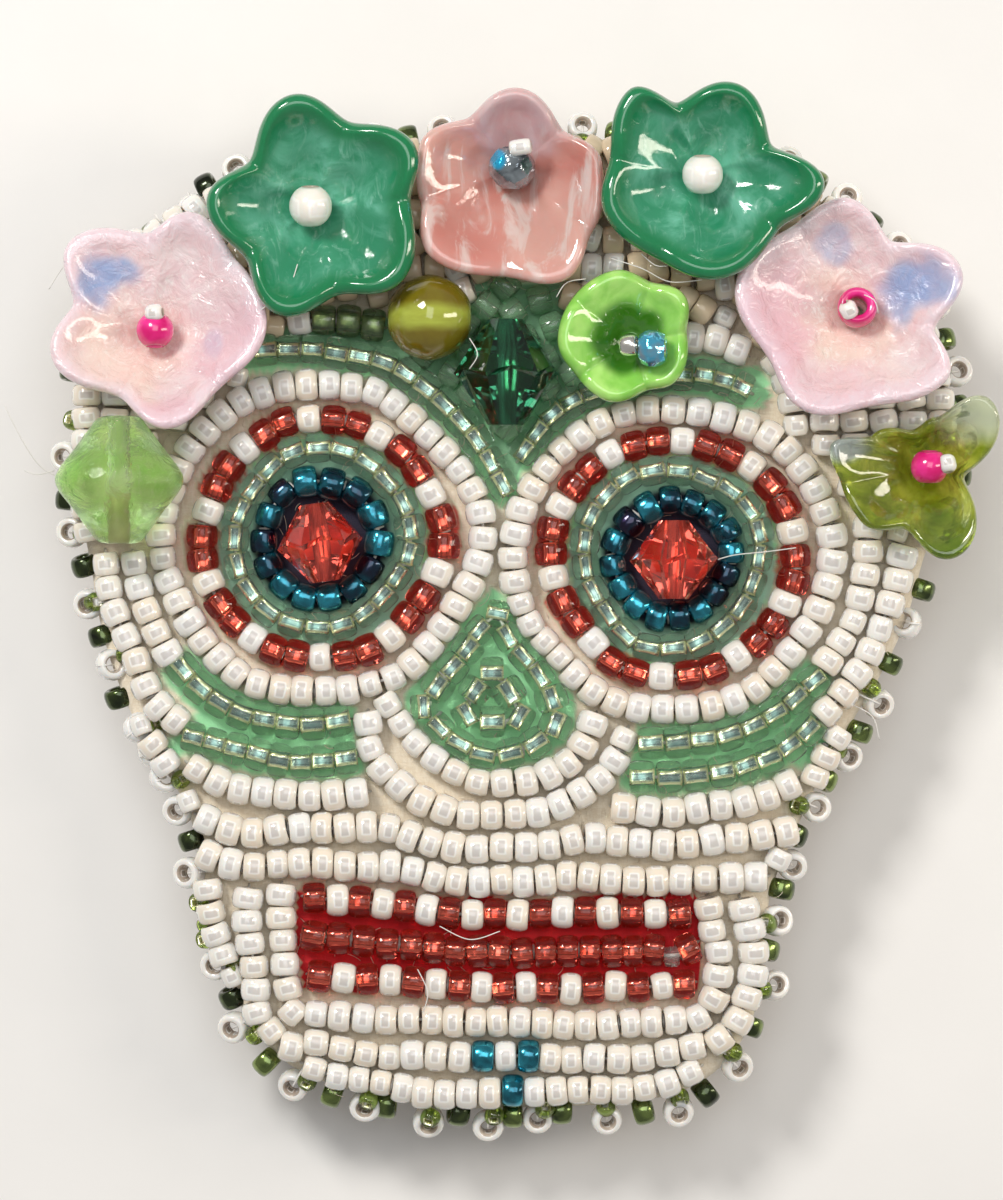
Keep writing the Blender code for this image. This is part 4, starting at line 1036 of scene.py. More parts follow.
def star_material():
    mat, t, s, reach, hollow = flower_base("olive_star_glass", 0.04)
    s.inputs["Transmission Weight"].default_value = 0.75
    s.inputs["IOR"].default_value = 1.48
    swirl = noise_tex(t, 0.3, 4, 0.6, 1.5).outputs["Fac"]
    base = mix(t, step(t, swirl, 0.38, 0.66), (0.30, 0.40, 0.02), (0.66, 0.74, 0.10))
    base = mix(t, maths(t, "MULTIPLY", patch(t, 972, 415, 34, 26, 0.8), 0.85), base, (0.82, 0.90, 0.72))
    base = mix(t, maths(t, "MULTIPLY", patch(t, 845, 446, 22, 14, 0.8), 0.8), base, (0.72, 0.82, 0.90))
    base = mix(t, maths(t, "MULTIPLY", patch(t, 938, 535, 26, 26, 0.8), 0.7), base, (0.10, 0.22, 0.01))
    link(t, base, s.inputs["Base Color"])
    link(t, maths(t, "ADD", maths(t, "MULTIPLY", swirl, 0.10), 0.01), s.inputs["Roughness"])
    bump(t, s, noise_tex(t, 0.5, 4).outputs["Fac"], 0.4, 0.35)
    return mat


def lime_material():
    mat, t, s, reach, hollow = flower_base("lime_pressed_glass")
    s.inputs["Subsurface Weight"].default_value = 0.3
    s.inputs["Subsurface Radius"].default_value = (0.6, 1.0, 0.3)
    s.inputs["Subsurface Scale"].default_value = 0.0006
    swirl = noise_tex(t, 0.35, 3, 0.5, 1.0).outputs["Fac"]
    base = mix(t, step(t, swirl, 0.35, 0.7), (0.25, 0.62, 0.09), (0.45, 0.80, 0.20))
    # the cup's hollow middle is painted dark green: painted shade
    base = mix(t, maths(t, "MULTIPLY", step(t, reach, 0.66, 0.45), 0.95), base, (0.035, 0.17, 0.008))
    link(t, base, s.inputs["Base Color"])
    link(t, maths(t, "ADD", maths(t, "MULTIPLY", swirl, 0.08), 0.03), s.inputs["Roughness"])
    bump(t, s, noise_tex(t, 0.5, 3).outputs["Fac"], 0.3, 0.3)
    return mat


FLOWERS = {
    "green_flower_left": ((313, 211), 2.15, (0, 0), [
        (297, 101), (350, 127), (417, 152), (412, 205), (405, 285), (340, 299), (283, 320), (248, 262),
        (210, 207), (252, 166)]),
    "pink_flower_centre": ((512, 171), 0.60, (0, 0), [
        (517, 92), (562, 132), (602, 170), (592, 235), (565, 284), (505, 280), (430, 260), (421, 205),
        (420, 150), (470, 120)]),
    "green_flower_right": ((700, 180), 2.55, (0, 0), [
        (628, 96), (675, 109), (735, 91), (768, 150), (820, 192), (775, 235), (718, 284), (655, 264),
        (602, 218), (608, 165)]),
    "pale_flower_left": ((158, 342), 1.15, (-13, 0), [
        (74, 255), (150, 245), (197, 226), (238, 272), (270, 339), (222, 405), (175, 448), (124, 412),
        (57, 375), (77, 318)]),
    "pale_flower_right": ((854, 317), 1.30, (-10, 0), [
        (838, 210), (888, 250), (957, 283), (930, 340), (941, 395), (868, 420), (798, 426), (765, 372),
        (732, 300), (792, 236)]),
    "olive_star_flower": ((926, 468), 0.90, (0, 0), [
        (984, 400), (962, 478), (946, 560), (902, 530), (858, 524), (838, 486), (826, 446), (868, 438),
        (912, 430), (934, 418)]),
    "lime_flower": ((630, 343), 0.90, (0, 0), [
        (612, 273), (650, 284), (682, 296), (686, 335), (676, 382), (646, 392), (604, 402), (578, 380),
        (557, 342), (572, 300)]),
}
FLOWER_LOOK = {
    "green_flower_left": (jade_material(), 0.80, 0.74),
    "pink_flower_centre": (coral_material(), 0.55, 0.50),
    "pale_flower_left": (opal_material(
        "opal_pink_glass_left",
        [((245, 355, 42, 60, 0.9), 0.6), ((170, 425, 40, 26, 0.9), 0.45)],
        # painted blue sheen patches
        [((100, 284, 18, 26, 1.0), 1.0), ((122, 272, 20, 14, 1.0), 0.9), ((215, 345, 9, 15, 0.9), 0.30)],
        [((130, 350, 60, 50, 0.9), 0.6)]), 0.60, 0.44),
    "pale_flower_right": (opal_material(
        "opal_pink_glass_right",
        [((765, 330, 42, 62, 0.9), 0.8), ((835, 400, 40, 30, 0.9), 0.4)],
        # painted blue sheen patches
        [((918, 286, 32, 24, 1.0), 1.0), ((898, 302, 15, 30, 1.0), 0.85),
         ((832, 248, 17, 22, 0.7), 0.55)],
        [((845, 330, 60, 50, 0.9), 0.65)]), 0.60, 0.44),
    "olive_star_flower": (star_material(), 0.45, 0.38),
    "lime_flower": (lime_material(), 0.15, 0.62),
}
FLOWER_LOOK["green_flower_right"] = FLOWER_LOOK["green_flower_left"]


def flower_frame(name):
    (hx, hy), lift, tilt, _ = FLOWERS[name]
    x, y = at(hx, hy)
    return (Matrix.Translation((x, y, FELT_TOP + 0.10 + lift))
            @ Euler([math.radians(tilt[0]), math.radians(tilt[1]), 0]).to_matrix().to_4x4())


def flower_mesh(name):
    (hx, hy), lift, tilt, edge = FLOWERS[name]
    mat, cup, edge_r = FLOWER_LOOK[name]
    hub = at(hx, hy)
    marks = [np.array(at(*p)) - hub for p in edge]
    ang = [math.atan2(p[1], p[0]) for p in marks]
    rad = [float(np.linalg.norm(p)) for p in marks]
    # marks run clockwise on the page, tips first: unwrap them so the angle always falls
    for i in range(1, len(ang)):
        while ang[i] > ang[i - 1]:
            ang[i] -= 2 * math.pi
    around = 200
    theta = ang[0] - 2 * math.pi * np.arange(around) / around
    reach, where = np.zeros(around), np.zeros(around)
    ang_x, rad_x = ang + [ang[0] - 2 * math.pi], rad + [rad[0]]
    star = name == "olive_star_flower"
    for k, a in enumerate(theta):
        for i in range(len(ang)):
            if ang_x[i + 1] <= a <= ang_x[i] + 1e-9:
                t = (ang_x[i] - a) / (ang_x[i] - ang_x[i + 1])
                tip = 1 - t if i % 2 == 0 else t  # 1 at a petal's tip, 0 at a notch
                r_tip, r_notch = (rad_x[i], rad_x[i + 1]) if i % 2 == 0 else (rad_x[i + 1], rad_x[i])
                shape = (0.5 - 0.5 * math.cos(math.pi * tip)) ** 0.9
                reach[k] = r_notch + (r_tip - r_notch) * shape
                where[k] = math.sin(0.5 * math.pi * tip)
                break
    for _ in range(3):
        reach = 0.5 * reach + 0.25 * (np.roll(reach, 1) + np.roll(reach, -1))
    size = max(rad)
    rise = 3.0 * min(1.0, size / 7.5)

    def top(rho, w, full):
        r = rho * full
        up = np.clip((r / size - 0.15) / 0.85, 0, 1)
        z = 1.35 + rise * (1 - (1 - up) ** 2)
        z = z - cup * w ** 1.3 * smoothstep(rho, 0.12, 0.45) * (1 - smoothstep(rho, 0.68, 0.93))
        z = z + 0.22 * smoothstep(rho, 0.60, 0.90)
        z = z - 0.42 * (1 - w) ** 2.2 * smoothstep(rho, 0.25, 0.75)
        return z

    n_in, n_rim, n_under, hole = 34, 9, 14, 0.55
    rings, placing = [], []
    ones = np.ones(around)
    full = reach
    inner_edge = full - edge_r
    for i in range(n_in + 1):
        f = i / n_in
        r = hole + (inner_edge - hole) * f
        rings.append((r, top(r / full, where, full)))
        placing.append(r / full)
    z_edge = top(inner_edge / full, where, full) - edge_r
    for i in range(1, n_rim):
        a = math.pi * i / n_rim
        rings.append((inner_edge + edge_r * math.sin(a), z_edge + edge_r * math.cos(a)))
        placing.append(ones * 1.0)
    for i in range(n_under + 1):
        f = 1 - i / n_under
        r = hole + (inner_edge - hole) * f
        under = top(r / full, where * 0.6, full) - 1.15
        rings.append((r, np.maximum(under * (1 - f ** 3) + (z_edge - edge_r) * f ** 3, 0.05)))
        placing.append(r / full)
    verts, place = [], []
    place_w = where
    for (r, z), rho in zip(rings, placing):
        verts.append(np.stack([r * np.cos(theta), r * np.sin(theta), z * ones], 1))
        # where the petal hollows lie, which the materials darken as painted shade
        hollow = place_w ** 1.4 * smoothstep(rho, 0.18, 0.45) * (1 - smoothstep(rho, 0.62, 0.86))
        place.append(np.stack([rho * ones, hollow, place_w], 1))
    verts = np.concatenate(verts)
    # a little unevenness, as in pressed glass
    seed = Vector((hub[0], hub[1], 3.7))
    for v in verts:
        v[2] += 0.14 * noise.noise(Vector(v) * 0.33 + seed)
    m = np.array(flower_frame(name))
    verts = verts @ m[:3, :3].T + m[:3, 3]
    quads = outward(verts, loop_grid(len(rings), around))
    new_mesh("glass_" + name, verts, quads, [mat], attrs={"bead": np.concatenate(place)},
             nodes=[name], slot=SLOT_OF[name])


for name in FLOWERS:
    flower_mesh(name)

# ---------------------------------------------------------------- stops and large beads
M_PEARL_LARGE = pearl_material("pearl_stop_glass", (0.90, 0.88, 0.82), (0.88, 0.84, 0.76), (0.86, 0.84, 0.80),
                               rough=0.22)
M_HOT, _t, _s = material("hot_pink_pearl_coat", (0.80, 0.01, 0.22), 0.16, Coat_Weight=0.8, Coat_Roughness=0.03)
_n = noise_tex(_t, 0.5, 3).outputs["Fac"]
link(_t, mix(_t, step(_t, _n, 0.4, 0.7), (0.62, 0.0, 0.14), (0.90, 0.03, 0.30)), _s.inputs["Base Color"])
link(_t, maths(_t, "ADD", maths(_t, "MULTIPLY", _n, 0.12), 0.10), _s.inputs["Roughness"])
bump(_t, _s, _n, 0.3, 0.2)
M_GREY = clear_bead_material("grey_crystal_glass", (0.70, 0.78, 0.84), (0.52, 0.56, 0.62), 0.02, 0.75)
M_IRIS = iris_material("grey_iris_cut_glass", (0.10, 0.12, 0.14), (0.36, 0.42, 0.46), (0.10, 0.56, 0.85), 0.05, 0.7)
M_STOP = iris_material("grey_iris_stop", (0.10, 0.12, 0.14), (0.36, 0.42, 0.46), (0.30, 0.46, 0.52), 0.05, 0.7)
_t = M_STOP.node_tree
_s = next(n for n in _t.nodes if n.type == "BSDF_PRINCIPLED")
# a bright cyan facet on the left of the stop is a painted glint
link(_t, mix(_t, patch(_t, 498, 164, 8, 11, 0.5), _s.inputs["Base Color"].links[0].from_socket, (0.03, 0.55, 0.95)),
     _s.inputs["Base Color"])
M_SILVER, _t, _s = material("silver_seed", (0.80, 0.78, 0.72), 0.2, 0.9)
_n = noise_tex(_t, 1.2, 3).outputs["Fac"]
link(_t, mix(_t, _n, (0.62, 0.58, 0.5), (0.92, 0.92, 0.9)), _s.inputs["Base Color"])
link(_t, maths(_t, "ADD", maths(_t, "MULTIPLY", _n, 0.2), 0.1), _s.inputs["Roughness"])


def put_on_axis(name, shape, matrix, offset, mats, nodes=(), slot=None, smooth=True, extra=None):
    """A bead whose own axis X stands along the matrix's Z, offset mm up it."""
    verts, quads, lining, place = shape
    turn = np.array(matrix)[:3, :3] @ np.array([[0, 0, 1.0], [0, 1.0, 0], [-1.0, 0, 0]]).T
    # X -> +Z, Z -> -X
    basis = np.array(matrix)[:3, :3]
    local = np.stack([-verts[:, 2], verts[:, 1], verts[:, 0]], 1)
    local[:, 2] += offset
    pts = local @ basis.T + np.array(matrix)[:3, 3]
    quads = outward(pts, quads)
    build = Build()
    build.add(pts, quads, np.where(lining, min(1, len(mats) - 1), 0), bead=place, rnd=rng.random())
    if extra is not None:
        extra(build)
    return build.piece(name, mats, nodes=nodes, slot=slot, smooth=smooth)


def facet(verts, radius, normals, depth=0.93, soft=14.0):
    """Planes cut off a round shape."""
    d = verts / np.maximum(np.linalg.norm(verts, axis=1), 1e-9)[:, None]
    m = np.abs(d @ normals.T).max(1)
    limit = depth * radius / m
    r = np.linalg.norm(verts, axis=1)
    return verts * np.minimum(1.0, limit / np.maximum(r, 1e-9))[:, None]


def spread(count):
    k = np.arange(count) + 0.5
    phi = np.arccos(1 - 2 * k / count)
    lon = math.pi * (1 + 5 ** 0.5) * k
    return np.stack([np.cos(lon) * np.sin(phi), np.sin(lon) * np.sin(phi), np.cos(phi)], 1)


def rounded(verts, radius):
    """The bead drawn in to a ball of this radius."""
    return verts * np.minimum(1.0, radius / np.maximum(np.linalg.norm(verts, axis=1), 1e-9))[:, None]


HEX = np.array([[math.sin(p) * 0 + math.cos(p), math.sin(p) * math.cos(q), math.sin(p) * math.sin(q)]
                for p, n in ((0.0, 1), (0.72, 6), (math.pi / 2, 6))
                for q in [2 * math.pi * (j + (0.5 if p == 0.72 else 0)) / n for j in range(n)]])

for name, flower, r, half in (
        ("left_pearl", "green_flower_left", 1.42, 1.42), ("right_pearl", "green_flower_right", 1.35, 1.35)):
    verts, quads, lining, place = bead_shape(half, r, 0.34, power=2.0, around=48, outer=26, inner=6)
    verts = facet(rounded(verts, r), r, HEX, 0.985)
    top = flower_frame(flower)
    verts = verts @ np.array(Matrix.Rotation(math.radians(78), 3, "Z") @ Matrix.Rotation(0.5, 3, "X")).T
    put_on_axis("stop_" + name, (verts, quads, lining, place), top, 1.35 + 0.30 + half,
                [M_PEARL_LARGE, M_PEARL_HOLE_SHADED], nodes=[name], slot=SLOT_OF[name])

for name, flower, r, half, seed_type, seed_at in (
        ("left_pink_stop_bead", "pale_flower_left", 1.25, 1.16, "W", (0, 14, -0.25)),
        ("right_pink_stop_bead", "pale_flower_right", 1.35, 0.95, "W", (-9, -5, -0.10)),
        ("star_stop_bead", "olive_star_flower", 1.25, 1.12, "W", (17, 3, -0.45))):
    shape = bead_shape(half, r, 0.40 if "right" not in name else 0.62, power=2.1, around=40, outer=20, inner=6)
    top = flower_frame(flower)
    if name != "right_pink_stop_bead":
        verts, quads, lining, place = shape
        verts = rounded(verts, r)
        shape = (verts @ np.array(Matrix.Rotation(math.radians(84), 3, "Z")).T, quads, lining, place)

    def extra(build, top=top, half=half, seed_at=seed_at):
        c = top @ Vector((seed_at[0] / 15, seed_at[1] / 15, 1.65 + 2 * half + seed_at[2]))
        up = top.to_3x3() @ Vector((0, 0, 1))
        verts, quads, lining, place = unit_bead("W", 2)
        turn = frame_of((up * 0.25 + Vector((seed_at[1] / 15, -seed_at[0] / 15, 0))).normalized(), (0, 0, 1))
        pts = (rounded(verts * np.array([0.95, 0.56, 0.56]), 0.66)) @ turn.T + np.array(c)
        build.add(pts, quads, np.where(lining, 3, 2), bead=place, rnd=0.1)

    put_on_axis("stop_" + name, shape, top, 1.65 + half, [M_HOT, M_HOT, M_PEARL, M_PEARL_HOLE_SHADED],
                nodes=[name], slot=SLOT_OF[name], extra=extra)

# the faceted grey stop, with its oval seed bead above
_top = flower_frame("pink_flower_centre")
verts, quads, lining, place = bead_shape(1.25, 1.55, 0.36, power=2.0, around=64, outer=36, inner=6)
verts = facet(verts * np.array([1.16, 1.0, 1.0]), 1.60, spread(26), 0.92)
verts = verts @ np.array(Matrix.Rotation(math.radians(80), 3, "Z")).T
put_on_axis("stop_faceted", (verts, quads, lining, place), _top, 1.65 + 1.25, [M_STOP, M_STOP],
            nodes=["faceted_stop_bead"], slot=SLOT_OF["faceted_stop_bead"], smooth=False)
_b = Build()
_v, _q, _l, _p = unit_bead("W", 1)
_b.add(rounded(_v * np.array([1.15, 0.52, 0.52]), 0.80) @ frame_of((1, 0.15, 0.1)).T
       + np.array(_top @ Vector((0.55, 1.25, 4.1))), _q, np.where(_l, 1, 0), bead=_p, rnd=0.0)
_b.piece("stop_seed_bead", [M_PEARL, M_PEARL_HOLE_SHADED])

# lime flower: a blue-grey rondelle on its side in the cup, and a silvery seed bead beside it
c = at(651, 351)
verts, quads, lining, place = bead_shape(0.88, 1.28, 0.34, power=2.1, around=48, outer=28, inner=6)
verts = facet(verts, 1.28, spread(30), 0.92)
put_on_axis("stop_lime_rondelle", (verts, quads, lining, place),
            Matrix.Translation((c[0], c[1], FELT_TOP + 4.55)) @ Matrix.Rotation(math.pi / 2 * 0.9, 4, "Y"), 0.0,
            [M_IRIS, M_SILVER], nodes=["lime_rondelle"], slot=SLOT_OF["lime_rondelle"], smooth=False)
c = at(628, 348)
_b = Build()
_v, _q, _l, _p = bead_shape(0.55, 0.72, 0.26, power=2.4, around=28, outer=14, inner=5)
_b.add(_v @ frame_of((1, 0.1, 0.35)).T + np.array([c[0], c[1], FELT_TOP + 4.75]), _q, 0, bead=_p, rnd=0.2)
_b.piece("stop_silver_seed", [M_SILVER])


def crystal_mesh(name, matrix, profile, sides, hole, mats, nodes=(), slot=None, stagger=True,
                 squash=1.0, turn=0.0, smooth=False, girdle=False):
    """A cut bead about the matrix's Z from (radius, height) rings, with a drilled hole. With a
    girdle its widest rings zigzag, so kite facets of the two sides bite into each other."""
    rings = []
    rows = [(hole, profile[0][1])] + list(profile) + [(hole, profile[-1][1])]
    if girdle:
        stagger = False
    for i, (r, z) in enumerate(rows):
        shift = (0.5 if stagger and i % 2 == 0 else 0.0)
        a = 2 * math.pi * (np.arange(sides) + shift) / sides + turn
        if girdle and i in (2, 3):
            odd = np.arange(sides) % 2 == (i % 2)
            r = np.where(odd, r, r * 0.90)
            z = np.where(odd, -0.10 * np.sign(z), z * 1.6)
            rings.append(np.stack([r * np.cos(a), r * np.sin(a) * squash, z], 1))
            continue
        rings.append(np.stack([r * np.cos(a), r * np.sin(a) * squash, np.full(sides, z)], 1))
    verts = np.concatenate(rings)
    tris = []
    n = len(rings)
    for i in range(n):
        k = (i + 1) % n
        odd = stagger and i % 2 == 1
        even = stagger and i % 2 == 0
        for j in range(sides):
            a, b = i * sides + j, i * sides + (j + 1) % sides
            c, d = k * sides + j, k * sides + (j + 1) % sides
            if even and k != 0:  # this ring is half a step ahead of the next
                tris += [(a, b, d), (a, d, c)]
            else:
                tris += [(a, b, c), (b, d, c)]
    tris = np.array(tris)
    p = verts[tris]
    if np.einsum("ij,ij->i", p[:, 0], np.cross(p[:, 1], p[:, 2])).sum() < 0:
        tris = tris[:, ::-1]
    m = np.array(matrix)
    verts = verts @ m[:3, :3].T + m[:3, 3]
    ring_of = tris // sides
    channel = np.isin(ring_of, (0, n - 1)).all(1) & (ring_of.max(1) - ring_of.min(1) > 1)
    return new_mesh(name, verts, tris, mats, np.where(channel, len(mats) - 1, 0), smooth=smooth,
                    attrs={"bead": np.zeros((len(verts), 3)), "rnd": np.full(len(verts), 0.3)},
                    nodes=nodes, slot=slot)


def crystal_glass(name, tint, deep, ior=1.56, share=1.0):
    mat, t, s = material(name, tint, 0.0)
    s.inputs["Transmission Weight"].default_value = share
    s.inputs["IOR"].default_value = ior
    n = noise_tex(t, 0.25, 2).outputs["Fac"]
    link(t, mix(t, n, tint, deep), s.inputs["Base Color"])
    link(t, maths(t, "MULTIPLY", noise_tex(t, 2.0, 2).outputs["Fac"], 0.035), s.inputs["Roughness"])
    return mat


M_CHANNEL, _t, _s = material("drilled_channel", (0.7, 0.7, 0.7), 0.55)
_n = noise_tex(_t, 1.5, 3).outputs["Fac"]
link(_t, mix(_t, _n, (0.42, 0.36, 0.28), (0.75, 0.70, 0.62)), _s.inputs["Base Color"])
M_RED_CRYSTAL = crystal_glass("red_crystal_glass", (1.0, 0.20, 0.14), (0.93, 0.09, 0.06), share=0.93)
M_GREEN_CRYSTAL = crystal_glass("green_crystal_glass", (0.05, 0.30, 0.15), (0.015, 0.15, 0.07), share=0.97)



def channel_material(name, light, dark):
    """The drilled hole of a cut bead, with bright and dark lines running along Y."""
    mat, t, s = material(name, light, 0.18, 0.75)
    lines = noise_tex(t, 2.6, 3, 0.6, stretch=(1.0, 0.08, 1.0)).outputs["Fac"]
    link(t, mix(t, step(t, lines, 0.42, 0.58), dark, light), s.inputs["Base Color"])
    link(t, maths(t, "ADD", maths(t, "MULTIPLY", lines, 0.25), 0.06), s.inputs["Roughness"])
    return mat


M_RED_CHANNEL = channel_material("red_crystal_channel", (1.0, 0.86, 0.80), (0.62, 0.25, 0.20))
M_GREEN_CHANNEL = channel_material("green_crystal_channel", (0.95, 1.0, 0.97), (0.25, 0.45, 0.34))
FLAT = Matrix.Rotation(-math.pi / 2, 4, "X")
for name, (x, y), r, lean, turn in (
        ("left_eye_crystal", (321, 543), 2.88, 8.0, 0.10), ("right_eye_crystal", (673, 560), 3.02, 0.0, 0.22)):
    c = at(x, y)
    crystal_mesh("cut_" + name,
                 Matrix.Translation((c[0], c[1], FELT_TOP + 0.1 + 2.90))
                 @ Matrix.Rotation(math.radians(lean), 4, "Z") @ FLAT,
                 [(1.00, 2.60), (r, 0.26), (r, -0.26), (1.00, -2.60)], 12, 0.42,
                 [M_RED_CRYSTAL, M_RED_CHANNEL], nodes=[name], slot=SLOT_OF[name], turn=turn, girdle=True)
c = at(506, 374)
crystal_mesh("cut_green_bicone",
             Matrix.Translation((c[0], c[1], FELT_TOP + 0.1 + 3.4)) @ FLAT,
             [(1.20, 3.50), (3.50, 0.24), (3.50, -0.24), (1.20, -3.50)], 12, 0.50,
             [M_GREEN_CRYSTAL, M_GREEN_CHANNEL], nodes=["green_bicone"], slot=SLOT_OF["green_bicone"],
             turn=0.12, girdle=True)

# the lantern: clear pale green glass about Y
M_LANTERN, _t, _s = material("lantern_glass", (0.62, 0.92, 0.45), 0.03)
_s.inputs["Transmission Weight"].default_value = 0.90
_s.inputs["IOR"].default_value = 1.36
_s.inputs["Subsurface Weight"].default_value = 0.1
_s.inputs["Subsurface Radius"].default_value = (0.5, 1.0, 0.3)
_s.inputs["Subsurface Scale"].default_value = 0.001
_n = noise_tex(_t, 0.25, 3, distortion=1.0).outputs["Fac"]
_cracks = noise_tex(_t, 0.9, 5, 0.7, 2.0, stretch=(1.0, 0.35, 1.0)).outputs["Fac"]
_base = mix(_t, step(_t, _n, 0.35, 0.65), (0.50, 0.90, 0.26), (0.80, 1.0, 0.58))
link(_t, mix(_t, maths(_t, "MULTIPLY", step(_t, _cracks, 0.54, 0.66), 0.7), _base, (0.95, 1.0, 0.82)),
     _s.inputs["Base Color"])
link(_t, maths(_t, "MULTIPLY", noise_tex(_t, 1.0, 3).outputs["Fac"], 0.10), _s.inputs["Roughness"])
bump(_t, _s, noise_tex(_t, 0.6, 4, 0.6, 0.8).outputs["Fac"], 0.7, 0.4)
M_LANTERN_HOLE, _t, _s = material("lantern_channel", (0.30, 0.24, 0.12), 0.4)
_n = noise_tex(_t, 0.9, 3).outputs["Fac"]
_place = node(_t, "ShaderNodeSeparateXYZ")
link(_t, attr(_t, "bead").outputs["Vector"], _place.inputs[0])
_core = mix(_t, _n, (0.26, 0.20, 0.08), (0.56, 0.46, 0.26))
_upper = step(_t, maths(_t, "ADD", _place.outputs[0], maths(_t, "MULTIPLY", _n, 0.3)), -0.05, 0.30)
link(_t, mix(_t, _upper, _core, (0.88, 1.0, 0.74)), _s.inputs["Base Color"])
link(_t, _upper, _s.inputs["Transmission Weight"])


def turned(name, matrix, profile, hole, mats, around=64, squash=1.0, nodes=(), slot=None, facets=0,
           steps=5):
    """A turned bead about the matrix's Z: a smooth outside through (radius, height) points."""
    line = smooth_line([(r, z) for r, z in profile], 0.22, False)
    a = 2 * math.pi * np.arange(around) / around
    rings, inner = [], []
    for r, z in line:
        rings.append((r, z, False))
    for f in np.linspace(0, 1, 12):
        rings.append((hole, line[-1][1] * (1 - f) + line[0][1] * f, True))
    pts = []
    for r, z, _ in rings:
        wave = 1.0
        pts.append(np.stack([r * np.cos(a) * wave, r * np.sin(a) * squash * wave, np.full(around, z)], 1))
    verts = np.concatenate(pts)
    quads = outward(verts, loop_grid(len(rings), around))
    mask = np.array([g[2] for g in rings])
    lining = mask[quads // around].all(1)
    rel = verts.copy()
    m = np.array(matrix)
    verts = verts @ m[:3, :3].T + m[:3, 3]
    return new_mesh(name, verts, quads, mats, np.where(lining, len(mats) - 1, 0),
                    attrs={"bead": np.stack([rel[:, 2] / abs(line[0][1]), rel[:, 0] / 4, rel[:, 1] / 4], 1),
                           "rnd": np.full(len(verts), 0.5)}, nodes=nodes, slot=slot)


c = at(123, 481)
turned("turned_lantern", Matrix.Translation((c[0], c[1], FELT_TOP + 0.95 + 3.5)) @ Matrix.Rotation(-math.pi / 2, 4, "X"),
       [(0.85, -4.22), (1.45, -4.05), (2.05, -3.3), (3.05, -1.95), (3.98, -0.75), (4.25, 0.0), (3.98, 0.75),
        (3.05, 1.95), (2.05, 3.3), (1.45, 4.05), (0.85, 4.22)], 0.62, [M_LANTERN, M_LANTERN_HOLE], squash=0.8,
       nodes=["lantern_bead"], slot=SLOT_OF["lantern_bead"])

# the olive round bead about X, with a bright band of painted light across its middle
M_OLIVE, _t, _s = material("olive_round_glass", (0.25, 0.24, 0.02), 0.05)
_s.inputs["Transmission Weight"].default_value = 0.35
_s.inputs["Coat Weight"].default_value = 0.6
_s.inputs["Coat Roughness"].default_value = 0.03
_light_band = patch(_t, 430, 319, 60, 12, 0.9, 0.15)
_fine = noise_tex(_t, 1.6, 3, stretch=(0.12, 1.4, 1)).outputs["Fac"]
_base = mix(_t, noise_tex(_t, 0.5, 3).outputs["Fac"], (0.16, 0.09, 0.005), (0.34, 0.30, 0.02))
_base = mix(_t, maths(_t, "MULTIPLY", _light_band, maths(_t, "ADD", maths(_t, "MULTIPLY", _fine, 0.8), 0.4)), _base,
            (0.62, 0.72, 0.10))
link(_t, _base, _s.inputs["Base Color"])
link(_t, maths(_t, "MULTIPLY", _fine, 0.16), _s.inputs["Roughness"])
c = at(430, 319)
turned("turned_olive_round", Matrix.Translation((c[0], c[1], FELT_TOP + 0.1 + 2.85)) @ Matrix.Rotation(math.pi / 2, 4, "Y"),
       [(0.8, -2.75), (1.5, -2.45), (2.35, -1.6), (2.82, -0.4), (2.82, 0.4), (2.35, 1.6), (1.5, 2.45),
        (0.8, 2.75)], 0.5, [M_OLIVE, M_LANTERN_HOLE], nodes=["olive_round_bead"], slot=SLOT_OF["olive_round_bead"])

# ---------------------------------------------------------------- the beaded edge
EDGE = [
    ("W", 192, 208), ("g", 200, 216), ("D", 150, 229), ("W", 168, 231), ("W", 136, 243), ("g", 72, 420),
    ("W", 95, 425), ("W", 64, 456), ("D", 62, 500), ("W", 70, 532), ("g", 82, 533), ("D", 78, 566),
    ("W", 87, 604), ("g", 93, 602), ("D", 95, 637), ("W", 110, 665), ("g", 125, 655), ("D", 122, 696),
    ("W", 137, 728), ("g", 153, 724), ("W", 152, 753), ("W", 164, 778), ("g", 180, 780), ("W", 177, 811),
    ("D", 186, 842), ("W", 188, 874), ("g", 198, 903), ("g", 206, 925), ("g", 205, 940), ("W", 215, 966),
    ("g", 235, 968), ("D", 227, 1001), ("W", 233, 1029), ("g", 255, 1036), ("D", 262, 1068),
    ("W", 293, 1087), ("g", 307, 1082), ("D", 330, 1101), ("W", 365, 1108), ("g", 368, 1102),
    ("D", 385, 1112), ("W", 428, 1124), ("g", 430, 1119), ("D", 458, 1120), ("W", 488, 1128),
    ("g", 494, 1117), ("D", 513, 1122), ("W", 538, 1120), ("g", 545, 1110), ("D", 562, 1118),
    ("W", 607, 1121), ("g", 606, 1108), ("D", 645, 1118), ("W", 679, 1113), ("g", 680, 1099),
    ("D", 709, 1100), ("W", 738, 1068), ("g", 733, 1053), ("D", 755, 1030), ("W", 775, 987),
    ("g", 763, 991), ("D", 772, 952), ("W", 778, 922), ("g", 768, 924), ("D", 787, 892), ("W", 793, 866),
    ("g", 780, 862), ("D", 800, 838), ("W", 817, 808), ("g", 800, 806), ("D", 830, 782), ("W", 848, 757),
    ("g", 838, 750), ("D", 865, 735), ("W", 880, 704), ("g", 872, 688), ("D", 895, 665), ("W", 908, 623),
    ("D", 918, 588),
]
_edge_line = offset_loop(RIM, 1.15)
